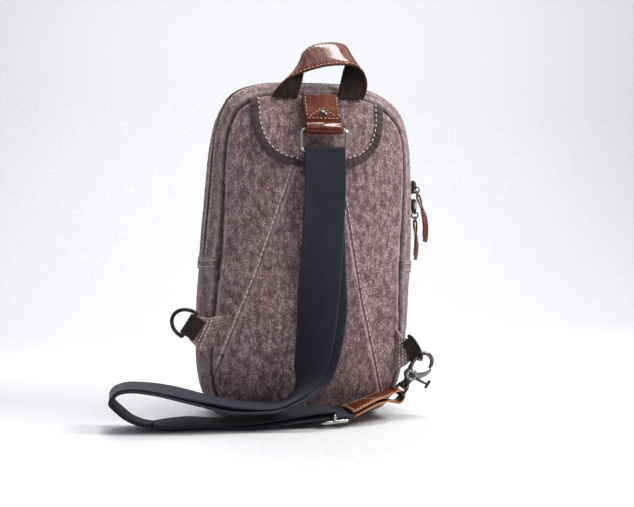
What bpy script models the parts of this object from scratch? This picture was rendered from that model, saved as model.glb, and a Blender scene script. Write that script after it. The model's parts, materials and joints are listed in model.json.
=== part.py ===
"""Canvas one-shoulder sling bag: body of sewn shells, two zips, leather handle and tab, webbing strap,
tri-glide slider, swivel trigger hook, and two corner D-rings.

Frame: metres, +X to the right when the back panel faces the viewer, +Y towards the bag's front, +Z up.
The origin is on the surface the bag stands on, under the middle of the base.
"""
import math

import bmesh
import bpy
import numpy as np
from mathutils import Matrix, Vector

# ---------------------------------------------------------------- driving dimensions (metres)
GAP = 0.0003                      # running gap between touching pieces
BODY_CENTRE = (0.004, 0.150)      # x, z about which every outline of the body is measured
CREST_POINTS = [                  # x, z of the body's widest outline, clockwise from the base's middle
    (-0.005, 0.000), (-0.045, 0.000), (-0.076, 0.002), (-0.092, 0.014), (-0.099, 0.040), (-0.1005, 0.075),
    (-0.0995, 0.115), (-0.0955, 0.165), (-0.0915, 0.210), (-0.087, 0.255), (-0.080, 0.285), (-0.067, 0.3045),
    (-0.040, 0.3135), (0.000, 0.3155), (0.040, 0.3145), (0.072, 0.3060), (0.093, 0.2885), (0.1015, 0.260),
    (0.1040, 0.220), (0.1045, 0.180), (0.1035, 0.145), (0.1015, 0.110), (0.0985, 0.070), (0.0930, 0.036),
    (0.0820, 0.012), (0.0640, 0.0015), (0.030, 0.000)]
SEAM_Y = 0.040                    # the back seam lies at -SEAM_Y and the front seam at +SEAM_Y
CREST_BACK = -0.022               # the gusset is widest between these two depths
CREST_FRONT = 0.020
SEAM_INSET = 0.0140               # how far the seams lie inside the widest outline
BASE_INSET = 0.0070               # the same, under the base
BACK_CROWN = 0.020                # how far the back panel bulges behind its seam
FRONT_CROWN = 0.018
CROWN_POWER = 2.6
CANVAS = 0.0016                   # canvas thickness
PANEL_MARGIN = CANVAS + 0.0021     # a panel lies this far inside the gusset, seam allowance included
LEATHER = 0.0018
TAPE = 0.0009                     # zip tape thickness

ZIP_BACK_Y = -0.022               # centre line of the main zip
ZIP_FRONT_Y = 0.020               # centre line of the front compartment's zip
TEETH_HALF = 0.0026
ZIP_HALF = 0.0060                 # half width of a closed zip, tapes included
LEFT_HEM_Z = 0.151                # where the lower gusset covers the ends of both zips
RIGHT_HEM_Z = 0.147
HEM_TURN = 0.003                  # angle, seen from the body's centre, left open above the lower gusset
TEETH_THICK = 0.0022
TEETH_PROUD = 0.0003              # how far the teeth stand out of the gusset
TAPE_SUNK = 0.0006                # how far the tapes lie below it

FOAM = 0.005
LINING = 0.0008

YOKE_MIDDLE = 0.008               # x of the yoke's middle
YOKE_HALF = 0.058
YOKE_TOP_Z = 0.299                # where the curve of its edge would meet the top seam
YOKE_DEPTH = 0.062
YOKE_POWER = 0.62                 # below 1 the U is squarer than a half circle
YOKE_CLOTH = 0.0010
BINDING_WIDTH = 0.0085
BINDING_LIFT = 0.0026             # middle of the binding above the back panel

STRAP_WIDTH = 0.038
STRAP_LAYER = 0.0017              # one layer of webbing
RING_WIRE = 0.0016                # radius of the top ring's wire
D_WIRE = 0.00175                  # radius of the D-rings' wire
D_WEB = 0.020                     # webbing of the D-rings

DIVIDER_Y = 0.0110                # the wall between the two compartments
AROUND = 44                       # segments round the whole body
LOWER_SEGMENTS = 26               # and round the lower gusset
HANDLE_ACROSS = 3                 # facets across the carry handle

UP = Vector((0, 0, 1))

for old in list(bpy.data.objects):
    bpy.data.objects.remove(old, do_unlink=True)


# ---------------------------------------------------------------- materials
def material(name, colour, roughness, metallic=0.0):
    mat = bpy.data.materials.new(name)
    mat.use_nodes = True
    shader = mat.node_tree.nodes["Principled BSDF"]
    shader.inputs["Base Color"].default_value = (*colour, 1.0)
    shader.inputs["Roughness"].default_value = roughness
    shader.inputs["Metallic"].default_value = metallic
    return mat


COLOURS = {
    "canvas": ((0.190, 0.125, 0.130), 0.92, 0.0),
    "twill": ((0.045, 0.030, 0.033), 0.88, 0.0),
    "lining": ((0.060, 0.055, 0.060), 0.85, 0.0),
    "foam": ((0.30, 0.30, 0.30), 0.95, 0.0),
    "board": ((0.10, 0.09, 0.08), 0.80, 0.0),
    "leather": ((0.190, 0.055, 0.032), 0.28, 0.0),
    "dark_leather": ((0.035, 0.022, 0.018), 0.55, 0.0),
    "webbing": ((0.028, 0.027, 0.040), 0.80, 0.0),
    "zip_tape": ((0.030, 0.026, 0.028), 0.85, 0.0),
    "gunmetal": ((0.22, 0.21, 0.20), 0.30, 1.0),
    "nickel": ((0.60, 0.59, 0.57), 0.25, 1.0),
}
MATERIALS = {name: material(name, *look) for name, look in COLOURS.items()}


# ---------------------------------------------------------------- mesh helpers
def add_mesh(name, slot, verts, faces):
    """One closed, outward-facing body as an object."""
    mesh = bpy.data.meshes.new(name)
    mesh.from_pydata([tuple(v) for v in verts], [], faces)
    work = bmesh.new()
    work.from_mesh(mesh)
    bmesh.ops.recalc_face_normals(work, faces=work.faces)
    if work.calc_volume(signed=True) < 0:
        bmesh.ops.reverse_faces(work, faces=work.faces)
    bmesh.ops.triangulate(work, faces=[f for f in work.faces if len(f.verts) > 4])
    work.to_mesh(mesh)
    work.free()
    mesh.shade_smooth()
    mesh.set_sharp_from_angle(angle=math.radians(40))
    obj = bpy.data.objects.new(name, mesh)
    bpy.context.scene.collection.objects.link(obj)
    mesh.materials.append(MATERIALS[slot])
    return obj


def shell(name, slot, outer, inner, closed=False):
    """A sheet with thickness: outer and inner are equal grids of points, closed joins its first and last row."""
    rows, cols = len(outer), len(outer[0])
    verts = [p for row in outer for p in row] + [p for row in inner for p in row]
    base = rows * cols

    def at(i, j, side):
        return side * base + (i % rows) * cols + j

    faces = []
    for i in range(rows if closed else rows - 1):
        for j in range(cols - 1):
            faces.append((at(i, j, 0), at(i + 1, j, 0), at(i + 1, j + 1, 0), at(i, j + 1, 0)))
            faces.append((at(i, j, 1), at(i, j + 1, 1), at(i + 1, j + 1, 1), at(i + 1, j, 1)))
        for j in (0, cols - 1):
            faces.append((at(i, j, 0), at(i, j, 1), at(i + 1, j, 1), at(i + 1, j, 0)))
    if not closed:
        for i in (0, rows - 1):
            for j in range(cols - 1):
                faces.append((at(i, j, 0), at(i, j + 1, 0), at(i, j + 1, 1), at(i, j, 1)))
    return add_mesh(name, slot, verts, faces)


def smooth_path(points, per_span, closed=False):
    """Points on a Catmull-Rom curve through the given ones, of any dimension."""
    pts = [np.array(p, float) for p in points]
    count = len(pts)
    out = []
    for i in range(count if closed else count - 1):
        if closed:
            a, b, c, d = (pts[(i + k) % count] for k in (-1, 0, 1, 2))
        else:
            b, c = pts[i], pts[i + 1]
            a = pts[i - 1] if i > 0 else 2 * b - c
            d = pts[i + 2] if i + 2 < count else 2 * c - b
        for k in range(per_span):
            t = k / per_span
            out.append(0.5 * (2 * b + (c - a) * t + (2 * a - 5 * b + 4 * c - d) * t * t
                              + (3 * b - a - 3 * c + d) * t ** 3))
    if not closed:
        out.append(pts[-1])
    return out


def ribbon(name, slot, stations, thickness, per_span=4, lift=0.0):
    """A flat band. Each station is (point, face normal, width); lift moves the band along its own face."""
    rows = [list(p) + list(n) + [w] for p, n, w in stations]
    path = smooth_path(rows, per_span)
    centres = [Vector(r[:3]) for r in path]
    verts = []
    for i, row in enumerate(path):
        ahead = centres[min(i + 1, len(path) - 1)] - centres[max(i - 1, 0)]
        tangent = ahead.normalized()
        normal = Vector(row[3:6])
        normal = (normal - tangent * normal.dot(tangent)).normalized()
        across = tangent.cross(normal)
        for side, face in ((-1, -1), (1, -1), (1, 1), (-1, 1)):
            verts.append(centres[i] + across * (side * row[6] / 2) + normal * (face * thickness / 2 + lift))
    faces = [(0, 1, 2, 3)]
    for i in range(len(path) - 1):
        for k in range(4):
            a, b = 4 * i + k, 4 * i + (k + 1) % 4
            faces.append((a, b, b + 4, a + 4))
    last = 4 * (len(path) - 1)
    faces.append((last + 3, last + 2, last + 1, last))
    return add_mesh(name, slot, verts, faces)


def ruled_patch(name, slot, first, second, thickness, steps=5):
    """A sheet drawn straight from one line to another; each line is its two ends."""
    def at(u, v):
        return first[0].lerp(first[1], v).lerp(second[0].lerp(second[1], v), u)

    outer, inner = [], []
    for i in range(steps + 1):
        rows = ([], [])
        for j in range(steps + 1):
            u, v = i / steps, j / steps
            normal = (at(u + 0.01, v) - at(u - 0.01, v)).cross(at(u, v + 0.01) - at(u, v - 0.01)).normalized()
            rows[0].append(at(u, v) + normal * thickness / 2)
            rows[1].append(at(u, v) - normal * thickness / 2)
        outer.append(rows[0])
        inner.append(rows[1])
    return shell(name, slot, outer, inner)


def wire(name, slot, points, radius, cyclic=True, resolution=2):
    """Round wire bent along points."""
    curve = bpy.data.curves.new(name, "CURVE")
    curve.dimensions = "3D"
    spline = curve.splines.new("POLY")
    spline.points.add(len(points) - 1)
    for spot, point in zip(spline.points, points):
        spot.co = (*point, 1.0)
    spline.use_cyclic_u = cyclic
    curve.bevel_depth = radius
    curve.bevel_resolution = resolution
    curve.use_fill_caps = not cyclic
    obj = bpy.data.objects.new(name, curve)
    bpy.context.scene.collection.objects.link(obj)
    curve.materials.append(MATERIALS[slot])
    return obj


def turned(name, slot, profile, centre, axis, steps=20):
    """A solid turned about axis: profile is (radius, height) from one end to the other, both ends on the axis."""
    frame = Vector(axis).to_track_quat("Z", "Y").to_matrix()
    verts = []
    faces = []
    rings = []
    for radius, height in profile:
        if radius == 0:
            rings.append([len(verts)])
            verts.append(Vector((0, 0, height)))
            continue
        rings.append(list(range(len(verts), len(verts) + steps)))
        for k in range(steps):
            angle = 2 * math.pi * k / steps
            verts.append(Vector((radius * math.cos(angle), radius * math.sin(angle), height)))
    for low, high in zip(rings, rings[1:]):
        for k in range(steps):
            nxt = (k + 1) % steps
            if len(low) == 1:
                faces.append((low[0], high[k], high[nxt]))
            elif len(high) == 1:
                faces.append((low[k], low[nxt], high[0]))
            else:
                faces.append((low[k], low[nxt], high[nxt], high[k]))
    return add_mesh(name, slot, [frame @ v + Vector(centre) for v in verts], faces)


def box(name, slot, centre, size, axes=None):
    """A block of the given full size; axes are its three directions."""
    axes = axes or (Vector((1, 0, 0)), Vector((0, 1, 0)), Vector((0, 0, 1)))
    verts = []
    for sz in (-1, 1):
        for sx, sy in ((-1, -1), (1, -1), (1, 1), (-1, 1)):
            shift = axes[0] * (sx * size[0] / 2) + axes[1] * (sy * size[1] / 2) + axes[2] * (sz * size[2] / 2)
            verts.append(Vector(centre) + shift)
    faces = [(3, 2, 1, 0), (4, 5, 6, 7)] + [(k, (k + 1) % 4, (k + 1) % 4 + 4, k + 4) for k in range(4)]
    return add_mesh(name, slot, verts, faces)


def as_mesh(obj):
    """Turn a curve object into a mesh object, so that a Boolean can use it."""
    mesh = bpy.data.meshes.new_from_object(obj.evaluated_get(bpy.context.evaluated_depsgraph_get()))
    fresh = bpy.data.objects.new(obj.name + "_mesh", mesh)
    name = obj.name
    bpy.data.objects.remove(obj, do_unlink=True)
    bpy.context.scene.collection.objects.link(fresh)
    fresh.name = name
    return fresh


def combine(target, tools, operation):
    """Boolean the tools into or out of target; a tool is a guide afterwards and isn't built."""
    for tool in tools:
        step = target.modifiers.new(operation.lower(), "BOOLEAN")
        step.operation = operation
        step.solver = "EXACT"
        step.object = tool
        tool.hide_render = True
        tool.display_type = "WIRE"
    return target


# ---------------------------------------------------------------- the body's surfaces
def outline_table():
    """Angle and radius of the widest outline about the body's centre."""
    points = smooth_path(CREST_POINTS, 8, closed=True)
    angles = [math.atan2(p[1] - BODY_CENTRE[1], p[0] - BODY_CENTRE[0]) for p in points]
    radii = [math.hypot(p[1] - BODY_CENTRE[1], p[0] - BODY_CENTRE[0]) for p in points]
    order = np.argsort(angles)
    return np.array(angles)[order], np.array(radii)[order]


OUTLINE_ANGLES, OUTLINE_RADII = outline_table()


def crest_radius(angle):
    wrapped = (angle + math.pi) % (2 * math.pi) - math.pi
    return float(np.interp(wrapped, OUTLINE_ANGLES, OUTLINE_RADII, period=2 * math.pi))


def full_inset(angle):
    """The seams lie less far in under the base than round the sides and top."""
    under = max(0.0, -math.sin(angle)) ** 6
    return SEAM_INSET + (BASE_INSET - SEAM_INSET) * under


def inset(angle, y):
    """How far the body's surface lies inside its widest outline at depth y."""
    if y < CREST_BACK:
        share = (CREST_BACK - y) / (CREST_BACK + SEAM_Y)
    elif y > CREST_FRONT:
        share = (y - CREST_FRONT) / (SEAM_Y - CREST_FRONT)
    else:
        share = 0.0
    return full_inset(angle) * share ** 1.6


def gusset_point(angle, y, depth=0.0):
    radius = crest_radius(angle) - inset(angle, y) - depth
    z = BODY_CENTRE[1] + radius * math.sin(angle)
    return Vector((BODY_CENTRE[0] + radius * math.cos(angle), y, max(z, depth)))


def seam_radius(angle):
    return crest_radius(angle) - full_inset(angle)


def panel_point(angle, share, side, depth=0.0, margin=0.0):
    """A point on a crowned panel: share runs from 0 at its middle to 1 at its edge, side is -1 back, 1 front."""
    radius = (seam_radius(angle) - margin) * share
    crown = BACK_CROWN if side < 0 else FRONT_CROWN
    y = side * (SEAM_Y + crown * (1 - share ** CROWN_POWER) - depth)
    return Vector((BODY_CENTRE[0] + radius * math.cos(angle), y, BODY_CENTRE[1] + radius * math.sin(angle)))


def back_y(x, z):
    """Depth of the back panel's outer face at x, z."""
    dx, dz = x - BODY_CENTRE[0], z - BODY_CENTRE[1]
    share = min(1.0, math.hypot(dx, dz) / seam_radius(math.atan2(dz, dx)))
    return -(SEAM_Y + BACK_CROWN * (1 - share ** CROWN_POWER))


def angle_at_height(z, side):
    """Angle of the widest outline at height z, on the left (-1) or right (1) side."""
    low, high = (-math.pi / 2, math.pi / 2) if side > 0 else (3 * math.pi / 2, math.pi / 2)
    for _ in range(50):
        middle = (low + high) / 2
        if BODY_CENTRE[1] + crest_radius(middle) * math.sin(middle) < z:
            low = middle
        else:
            high = middle
    return (low + high) / 2


LEFT_HEM = angle_at_height(LEFT_HEM_Z, -1)
RIGHT_HEM = angle_at_height(RIGHT_HEM_Z, 1)


def gusset_strip(name, slot, y_low, y_high, start, end, thickness, recess=0.0, across=2):
    """A strip of the gusset between two depths and two angles."""
    segments = int(AROUND * abs(end - start) / (2 * math.pi))
    outer, inner = [], []
    for i in range(segments + 1):
        angle = start + (end - start) * i / segments
        depths = [y_low + (y_high - y_low) * j / across for j in range(across + 1)]
        outer.append([gusset_point(angle, y, recess) for y in depths])
        inner.append([gusset_point(angle, y, recess + thickness) for y in depths])
    return shell(name, slot, outer, inner)


def crowned_panel(name, slot, side, depth, thickness, margin, rings=(1.0, 0.93, 0.82, 0.62, 0.34)):
    """A crowned panel with a flat middle facet."""
    verts, faces = [], []
    angles = [2 * math.pi * i / AROUND for i in range(AROUND)]
    for level in (depth, depth + thickness):
        for share in rings:
            verts += [panel_point(a, share, side, level, margin) for a in angles]
        verts.append(panel_point(0.0, 0.0, side, level, margin))
    layer = len(rings) * AROUND + 1
    for level in (0, 1):
        start = level * layer
        for r in range(len(rings) - 1):
            for i in range(AROUND):
                nxt = (i + 1) % AROUND
                low, high = start + r * AROUND, start + (r + 1) * AROUND
                faces.append((low + i, low + nxt, high + nxt, high + i))
        last = start + (len(rings) - 1) * AROUND
        for i in range(AROUND):
            faces.append((last + i, last + (i + 1) % AROUND, start + layer - 1))
    for i in range(AROUND):
        nxt = (i + 1) % AROUND
        faces.append((i, nxt, layer + nxt, layer + i))
    return add_mesh(name, slot, verts, faces)


def flat_panel(name, slot, y, thickness, margin, low_z=None, high_z=None):
    """A flat wall across the body that follows its outline, cut off straight at the given heights."""
    points = []
    for i in range(AROUND):
        angle = 2 * math.pi * i / AROUND
        radius = crest_radius(angle) - margin
        z = BODY_CENTRE[1] + radius * math.sin(angle)
        z = max(z, margin, low_z if low_z is not None else z)
        z = min(z, high_z if high_z is not None else z)
        points.append((BODY_CENTRE[0] + radius * math.cos(angle), z))
    keep = [p for p, q in zip(points, points[-1:] + points[:-1]) if math.hypot(p[0] - q[0], p[1] - q[1]) > 1e-4]
    count = len(keep)
    verts = [Vector((x, y, z)) for x, z in keep] + [Vector((x, y + thickness, z)) for x, z in keep]
    faces = [tuple(range(count)), tuple(range(2 * count - 1, count - 1, -1))]
    faces += [(i, (i + 1) % count, (i + 1) % count + count, i + count) for i in range(count)]
    return add_mesh(name, slot, verts, faces)


# ---------------------------------------------------------------- body
def build_body():
    crowned_panel("back_panel", "canvas", -1, 0.0, CANVAS, PANEL_MARGIN)
    crowned_panel("front_panel", "canvas", 1, 0.0, CANVAS, PANEL_MARGIN)
    foam_depth = CANVAS + GAP
    coarse = (1.0, 0.8, 0.4)
    crowned_panel("back_foam_pad", "foam", -1, foam_depth, FOAM, 0.009, coarse)
    crowned_panel("back_lining", "lining", -1, foam_depth + FOAM + GAP, LINING, 0.0085, coarse)

    edge = ZIP_HALF + GAP
    top = (RIGHT_HEM, LEFT_HEM)
    gusset_strip("gusset_back_strip", "canvas", -SEAM_Y, ZIP_BACK_Y - edge, *top, CANVAS)
    gusset_strip("gusset_middle_strip", "canvas", ZIP_BACK_Y + edge, ZIP_FRONT_Y - edge, *top, CANVAS, across=1)
    gusset_strip("gusset_front_strip", "canvas", ZIP_FRONT_Y + edge, SEAM_Y, *top, CANVAS)
    hems = (LEFT_HEM + HEM_TURN, RIGHT_HEM - HEM_TURN + 2 * math.pi)
    outer, inner = [], []
    depths = [-SEAM_Y, -0.034, -0.028, CREST_BACK, 0.0, CREST_FRONT, 0.027, 0.034, SEAM_Y]
    for i in range(LOWER_SEGMENTS + 1):
        angle = hems[0] + (hems[1] - hems[0]) * i / LOWER_SEGMENTS
        outer.append([gusset_point(angle, y) for y in depths])
        inner.append([gusset_point(angle, y, CANVAS) for y in depths])
    shell("lower_gusset", "canvas", outer, inner)

    for label, centre in (("main", ZIP_BACK_Y), ("front", ZIP_FRONT_Y)):
        spans = (("back", centre - ZIP_HALF, centre - TEETH_HALF - GAP),
                 ("front", centre + TEETH_HALF + GAP, centre + ZIP_HALF))
        for side, low, high in spans:
            gusset_strip(f"{label}_zip_{side}_tape", "zip_tape", low, high, *top, TAPE,
                         recess=TAPE_SUNK, across=1)
        gusset_strip(f"{label}_zip_teeth", "gunmetal", centre - TEETH_HALF, centre + TEETH_HALF, *top,
                     TEETH_THICK, recess=-TEETH_PROUD, across=1)

    inside = CANVAS + 0.0028
    flat_panel("divider_panel", "lining", DIVIDER_Y, 0.0010, inside)
    flat_panel("slip_pocket", "lining", DIVIDER_Y - GAP - LINING, LINING, inside + 0.002, high_z=0.170)
    box("base_board", "board", (-0.008, -0.0060, CANVAS + 0.0020), (0.104, 0.0300, 0.0020))


def build_yoke():
    """U-shaped canvas yoke under the top seam, and the twill band that binds its edge."""
    def edge_point(turn):
        """Down the left side, round the bottom and up the right side as turn runs from -1 to 1."""
        angle = turn * math.pi / 2
        x = YOKE_MIDDLE + YOKE_HALF * math.copysign(abs(math.sin(angle)) ** YOKE_POWER, turn)
        return x, YOKE_TOP_Z - YOKE_DEPTH * abs(math.cos(angle)) ** YOKE_POWER

    def seam_height(x):
        low, high = 0.20, 0.32
        for _ in range(30):
            z = (low + high) / 2
            dx, dz = x - BODY_CENTRE[0], z - BODY_CENTRE[1]
            inside = math.hypot(dx, dz) < seam_radius(math.atan2(dz, dx)) - 0.0022
            low, high = (z, high) if inside else (low, z)
        return low

    columns = [edge_point(-0.94 + 1.88 * i / 20) for i in range(21)]
    outer, inner = [], []
    for x, low_z in columns:
        high_z = seam_height(x)
        heights = [low_z + (high_z - low_z) * j / 5 for j in range(6)]
        outer.append([Vector((x, back_y(x, z) - GAP - YOKE_CLOTH, z)) for z in heights])
        inner.append([Vector((x, back_y(x, z) - GAP, z)) for z in heights])
    shell("back_yoke", "canvas", outer, inner)

    stations = []
    for i in range(17):
        x, z = edge_point(-0.90 + 1.80 * i / 16)
        slope_x = (back_y(x + 0.004, z) - back_y(x - 0.004, z)) / 0.008
        slope_z = (back_y(x, z + 0.004) - back_y(x, z - 0.004)) / 0.008
        normal = Vector((slope_x, -1, slope_z)).normalized()
        stations.append((Vector((x, back_y(x, z), z)) + normal * BINDING_LIFT, normal, BINDING_WIDTH))
    ribbon("yoke_binding", "twill", stations, 0.0012, per_span=2)


# ---------------------------------------------------------------- handle and ring tab
HANDLE_EDGES = [                  # near edge and far edge, from the left foot over the top to the right foot
    ((-0.0360, -0.0452, 0.2990), (-0.0112, -0.0452, 0.2990)),
    ((-0.0315, -0.0458, 0.3045), (-0.0070, -0.0438, 0.3110)),
    ((-0.0260, -0.0468, 0.3095), (-0.0044, -0.0410, 0.3235)),
    ((-0.0185, -0.0480, 0.3145), (-0.0040, -0.0375, 0.3345)),
    ((-0.0080, -0.0490, 0.3192), (-0.0022, -0.0340, 0.3432)),
    ((0.0040, -0.0490, 0.3234), (0.0060, -0.0320, 0.3490)),
    ((0.0160, -0.0485, 0.3266), (0.0172, -0.0310, 0.3520)),
    ((0.0300, -0.0480, 0.3282), (0.0285, -0.0310, 0.3524)),
    ((0.0420, -0.0475, 0.3276), (0.0370, -0.0305, 0.3494)),
    ((0.0500, -0.0470, 0.3225), (0.0378, -0.0325, 0.3390)),
    ((0.0544, -0.0463, 0.3135), (0.0336, -0.0360, 0.3255)),
    ((0.0538, -0.0456, 0.3045), (0.0290, -0.0415, 0.3100)),
    ((0.0515, -0.0452, 0.2990), (0.0257, -0.0452, 0.2990))]
HANDLE_LINING = 0.0010
TAB_X = 0.009
TAB_WIDTH = 0.0350
RING_TOP = Vector((0.0105, -0.0615, 0.2670))      # centre of the ring's upper bar
RING_SIZE = (0.0418, 0.0190)                      # centre lines of the ring's wire
STRAP_BAR_Z = RING_TOP.z - RING_SIZE[1]


def rounded_loop(centre, right, up, size, corner, per_corner=4):
    """Centre line of a rectangle with rounded corners."""
    points = []
    for quarter in range(4):
        signs = ((1, 1), (-1, 1), (-1, -1), (1, -1))[quarter]
        for k in range(per_corner + 1):
            angle = (quarter + k / per_corner) * math.pi / 2
            a = signs[0] * (size[0] / 2 - corner) + corner * math.cos(angle)
            b = signs[1] * (size[1] / 2 - corner) + corner * math.sin(angle)
            points.append(Vector(centre) + right * a + up * b)
    return points


def handle_layer(name, slot, low, high, narrower):
    """One layer of the handle between two heights above the strip drawn between its edges."""
    rows = smooth_path([list(near) + list(far) for near, far in HANDLE_EDGES], 3)
    outer, inner = [], []
    for i, row in enumerate(rows):
        near, far = Vector(row[:3]), Vector(row[3:])
        before, after = rows[max(i - 1, 0)], rows[min(i + 1, len(rows) - 1)]
        across = (far - near).normalized()
        near, far = near + across * narrower, far - across * narrower
        along = [Vector(after[k:k + 3]) - Vector(before[k:k + 3]) for k in (0, 3)]
        sides = []
        for step in range(HANDLE_ACROSS + 1):
            share = step / HANDLE_ACROSS
            normal = along[0].lerp(along[1], share).cross(across).normalized()
            sides.append((near.lerp(far, share), normal))
        outer.append([point + normal * high for point, normal in sides])
        inner.append([point + normal * low for point, normal in sides])
    shell(name, slot, outer, inner)


def build_handle():
    handle_layer("carry_handle", "leather", 0, LEATHER, 0)
    handle_layer("handle_lining", "dark_leather", -HANDLE_LINING - GAP, -GAP, 0.0015)


def build_ring_tab():
    """The tab is one strip, folded round the ring's upper bar, both ends sewn into the top seam."""
    fold = RING_WIRE + 0.0004 + LEATHER / 2
    y, z = RING_TOP.y, RING_TOP.z
    stations = [((TAB_X, -0.0500, 0.2985), (0, -1, 0.1), TAB_WIDTH),
                ((TAB_X, -0.0545, 0.2900), (0, -1, 0.3), TAB_WIDTH),
                ((TAB_X, -0.0615, 0.2770), (0, -1, 0.25), TAB_WIDTH)]
    for k in range(7):
        angle = math.pi * (1 + k / 6) + 0.10
        direction = Vector((0, math.cos(angle), math.sin(angle)))
        stations.append((Vector((TAB_X, y, z)) + direction * fold, direction, TAB_WIDTH))
    stations += [((TAB_X, -0.0563, 0.2770), (0, 1, -0.3), TAB_WIDTH),
                 ((TAB_X, -0.0505, 0.2885), (0, 1, -0.3), TAB_WIDTH),
                 ((TAB_X, -0.0470, 0.2960), (0, 1, -0.2), TAB_WIDTH)]
    ribbon("ring_tab", "leather", stations, LEATHER, per_span=2)
    rivet_axis = Vector((0, -1, 0.42)).normalized()
    spot = Vector((TAB_X + 0.0005, -0.0578, 0.2845)) + rivet_axis * (LEATHER / 2 + GAP)
    profile = [(0, 0), (0.0036, 0), (0.0036, 0.0005), (0.0030, 0.0011), (0.0016, 0.0015), (0, 0.0016)]
    turned("tab_rivet", "gunmetal", profile, spot, rivet_axis, 16)
    centre = RING_TOP - Vector((0, 0, RING_SIZE[1] / 2))
    wire("top_ring", "nickel", rounded_loop(centre, Vector((1, 0, 0)), UP, RING_SIZE, 0.0018), RING_WIRE)


# ---------------------------------------------------------------- strap
STRAP_TOP_Z = 0.2340
LOOP_STRAP_GAP = 0.0008
STRAP_STATIONS = [                # centre of the doubled webbing, outer face's direction
    ((0.0109, -0.0655, STRAP_TOP_Z), (0, -1, 0)),
    ((0.0100, -0.0672, 0.2100), (0, -1, 0)),
    ((0.0078, -0.0688, 0.1700), (0, -1, 0)),
    ((0.0045, -0.0694, 0.1300), (-0.20, -1, 0)),
    ((0.0020, -0.0704, 0.0950), (-0.47, -0.88, 0)),
    ((-0.0010, -0.0714, 0.0690), (-0.66, -0.75, 0)),
    ((-0.0050, -0.0714, 0.0490), (-0.82, -0.57, 0)),
    ((-0.0110, -0.0710, 0.0345), (-0.97, -0.15, 0.17)),
    ((-0.0190, -0.0706, 0.0250), (-0.72, 0.05, 0.69)),
    ((-0.0300, -0.0706, 0.0200), (-0.28, 0.04, 0.96)),
    ((-0.0450, -0.0703, 0.0186), (-0.02, 0, 1)),
    ((-0.0740, -0.0700, 0.0215), (-0.12, 0, 1)),
    ((-0.1050, -0.0690, 0.0285), (-0.15, 0, 1)),
    ((-0.1350, -0.0640, 0.0354), (-0.14, 0, 1)),
    ((-0.1560, -0.0598, 0.0380), (-0.05, 0, 1)),
    ((-0.1690, -0.0570, 0.0370), (-0.32, 0, 0.95)),
    ((-0.1765, -0.0552, 0.0325), (-0.84, 0, 0.55)),
    ((-0.1793, -0.0542, 0.0275), (-1, 0, -0.02)),
    ((-0.1765, -0.0538, 0.0225), (-0.82, 0, -0.57)),
    ((-0.1700, -0.0540, 0.0162), (-0.70, 0, -0.72)),
    ((-0.1630, -0.0548, 0.0102), (-0.60, 0, -0.80)),
    ((-0.1540, -0.0560, 0.0056), (-0.34, 0, -0.94)),
    ((-0.1440, -0.0574, 0.0032), (-0.12, 0, -1)),
    ((-0.1300, -0.0590, 0.0021), (0, 0, -1)),
    ((-0.1050, -0.0610, 0.0020), (0, 0, -1)),
    ((-0.0800, -0.0618, 0.0020), (0, 0, -1)),
    ((-0.0620, -0.0622, 0.0023), (0, 0, -1))]
SLIDE_LOW = Vector((-0.0250, -0.0655, 0.0054))    # the single layer is straight between these two points
SLIDE_HIGH = Vector((0.0290, -0.0655, 0.0100))
SLIDE_AXIS = (SLIDE_HIGH - SLIDE_LOW).normalized()
SLIDE_NORMAL = Vector((0, -1, 0)).cross(SLIDE_AXIS).normalized()
GLIDE_AT = 0.0400                 # how far along the straight stretch the tri-glide's centre bar lies
GLIDE_WIRE = 0.0015
SEWN_END = [                      # the webbing's end between the layers of the end tab
    (Vector((0.0350, -0.0653, 0.0118)), Vector((-0.30, 0, 1)).normalized(), 0.0365),
    (Vector((0.0430, -0.0645, 0.0148)), Vector((-0.32, 0, 1)).normalized(), 0.0350),
    (Vector((0.0530, -0.0618, 0.0180)), Vector((-0.28, 0, 1)).normalized(), 0.0320)]


def build_strap():
    loop_bar = Vector((0.0109, RING_TOP.y, STRAP_BAR_Z))
    fold = RING_WIRE + 0.0004 + STRAP_LAYER / 2
    layer_step = STRAP_LAYER / 2 + 0.0002
    bottom = STRAP_TOP_Z + LOOP_STRAP_GAP
    stations = [((0.0109, -0.0655 - layer_step, bottom), (0, -1, 0), STRAP_WIDTH),
                ((0.0109, -0.0652 - layer_step, bottom + 0.005), (0, -1, 0), STRAP_WIDTH)]
    for k in range(7):
        angle = math.pi * (1 - k / 6)
        direction = Vector((0, math.cos(angle), math.sin(angle)))
        stations.append((loop_bar + direction * fold, direction, 0.0374))
    stations += [((0.0109, -0.0618 + layer_step, bottom + 0.005), (0, 1, 0), STRAP_WIDTH),
                 ((0.0109, -0.0632 + layer_step, bottom), (0, 1, 0), STRAP_WIDTH)]
    ribbon("strap_ring_loop", "webbing", stations, STRAP_LAYER, per_span=2)

    full = [(p, n, STRAP_WIDTH) for p, n in STRAP_STATIONS]
    ribbon("strap_doubled_run", "webbing", full, 2 * STRAP_LAYER, per_span=3)

    up = SLIDE_NORMAL
    single = [((-0.0615, -0.0622, 0.0014), (0, 0, 1), STRAP_WIDTH),
              ((-0.0450, -0.0626, 0.0028), (-0.1, 0, 1), STRAP_WIDTH),
              (SLIDE_LOW, up, STRAP_WIDTH), (SLIDE_LOW.lerp(SLIDE_HIGH, 0.5), up, STRAP_WIDTH),
              (SLIDE_HIGH, up, STRAP_WIDTH), *SEWN_END]
    ribbon("strap_lower_layer", "webbing", single, STRAP_LAYER, per_span=3)


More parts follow.
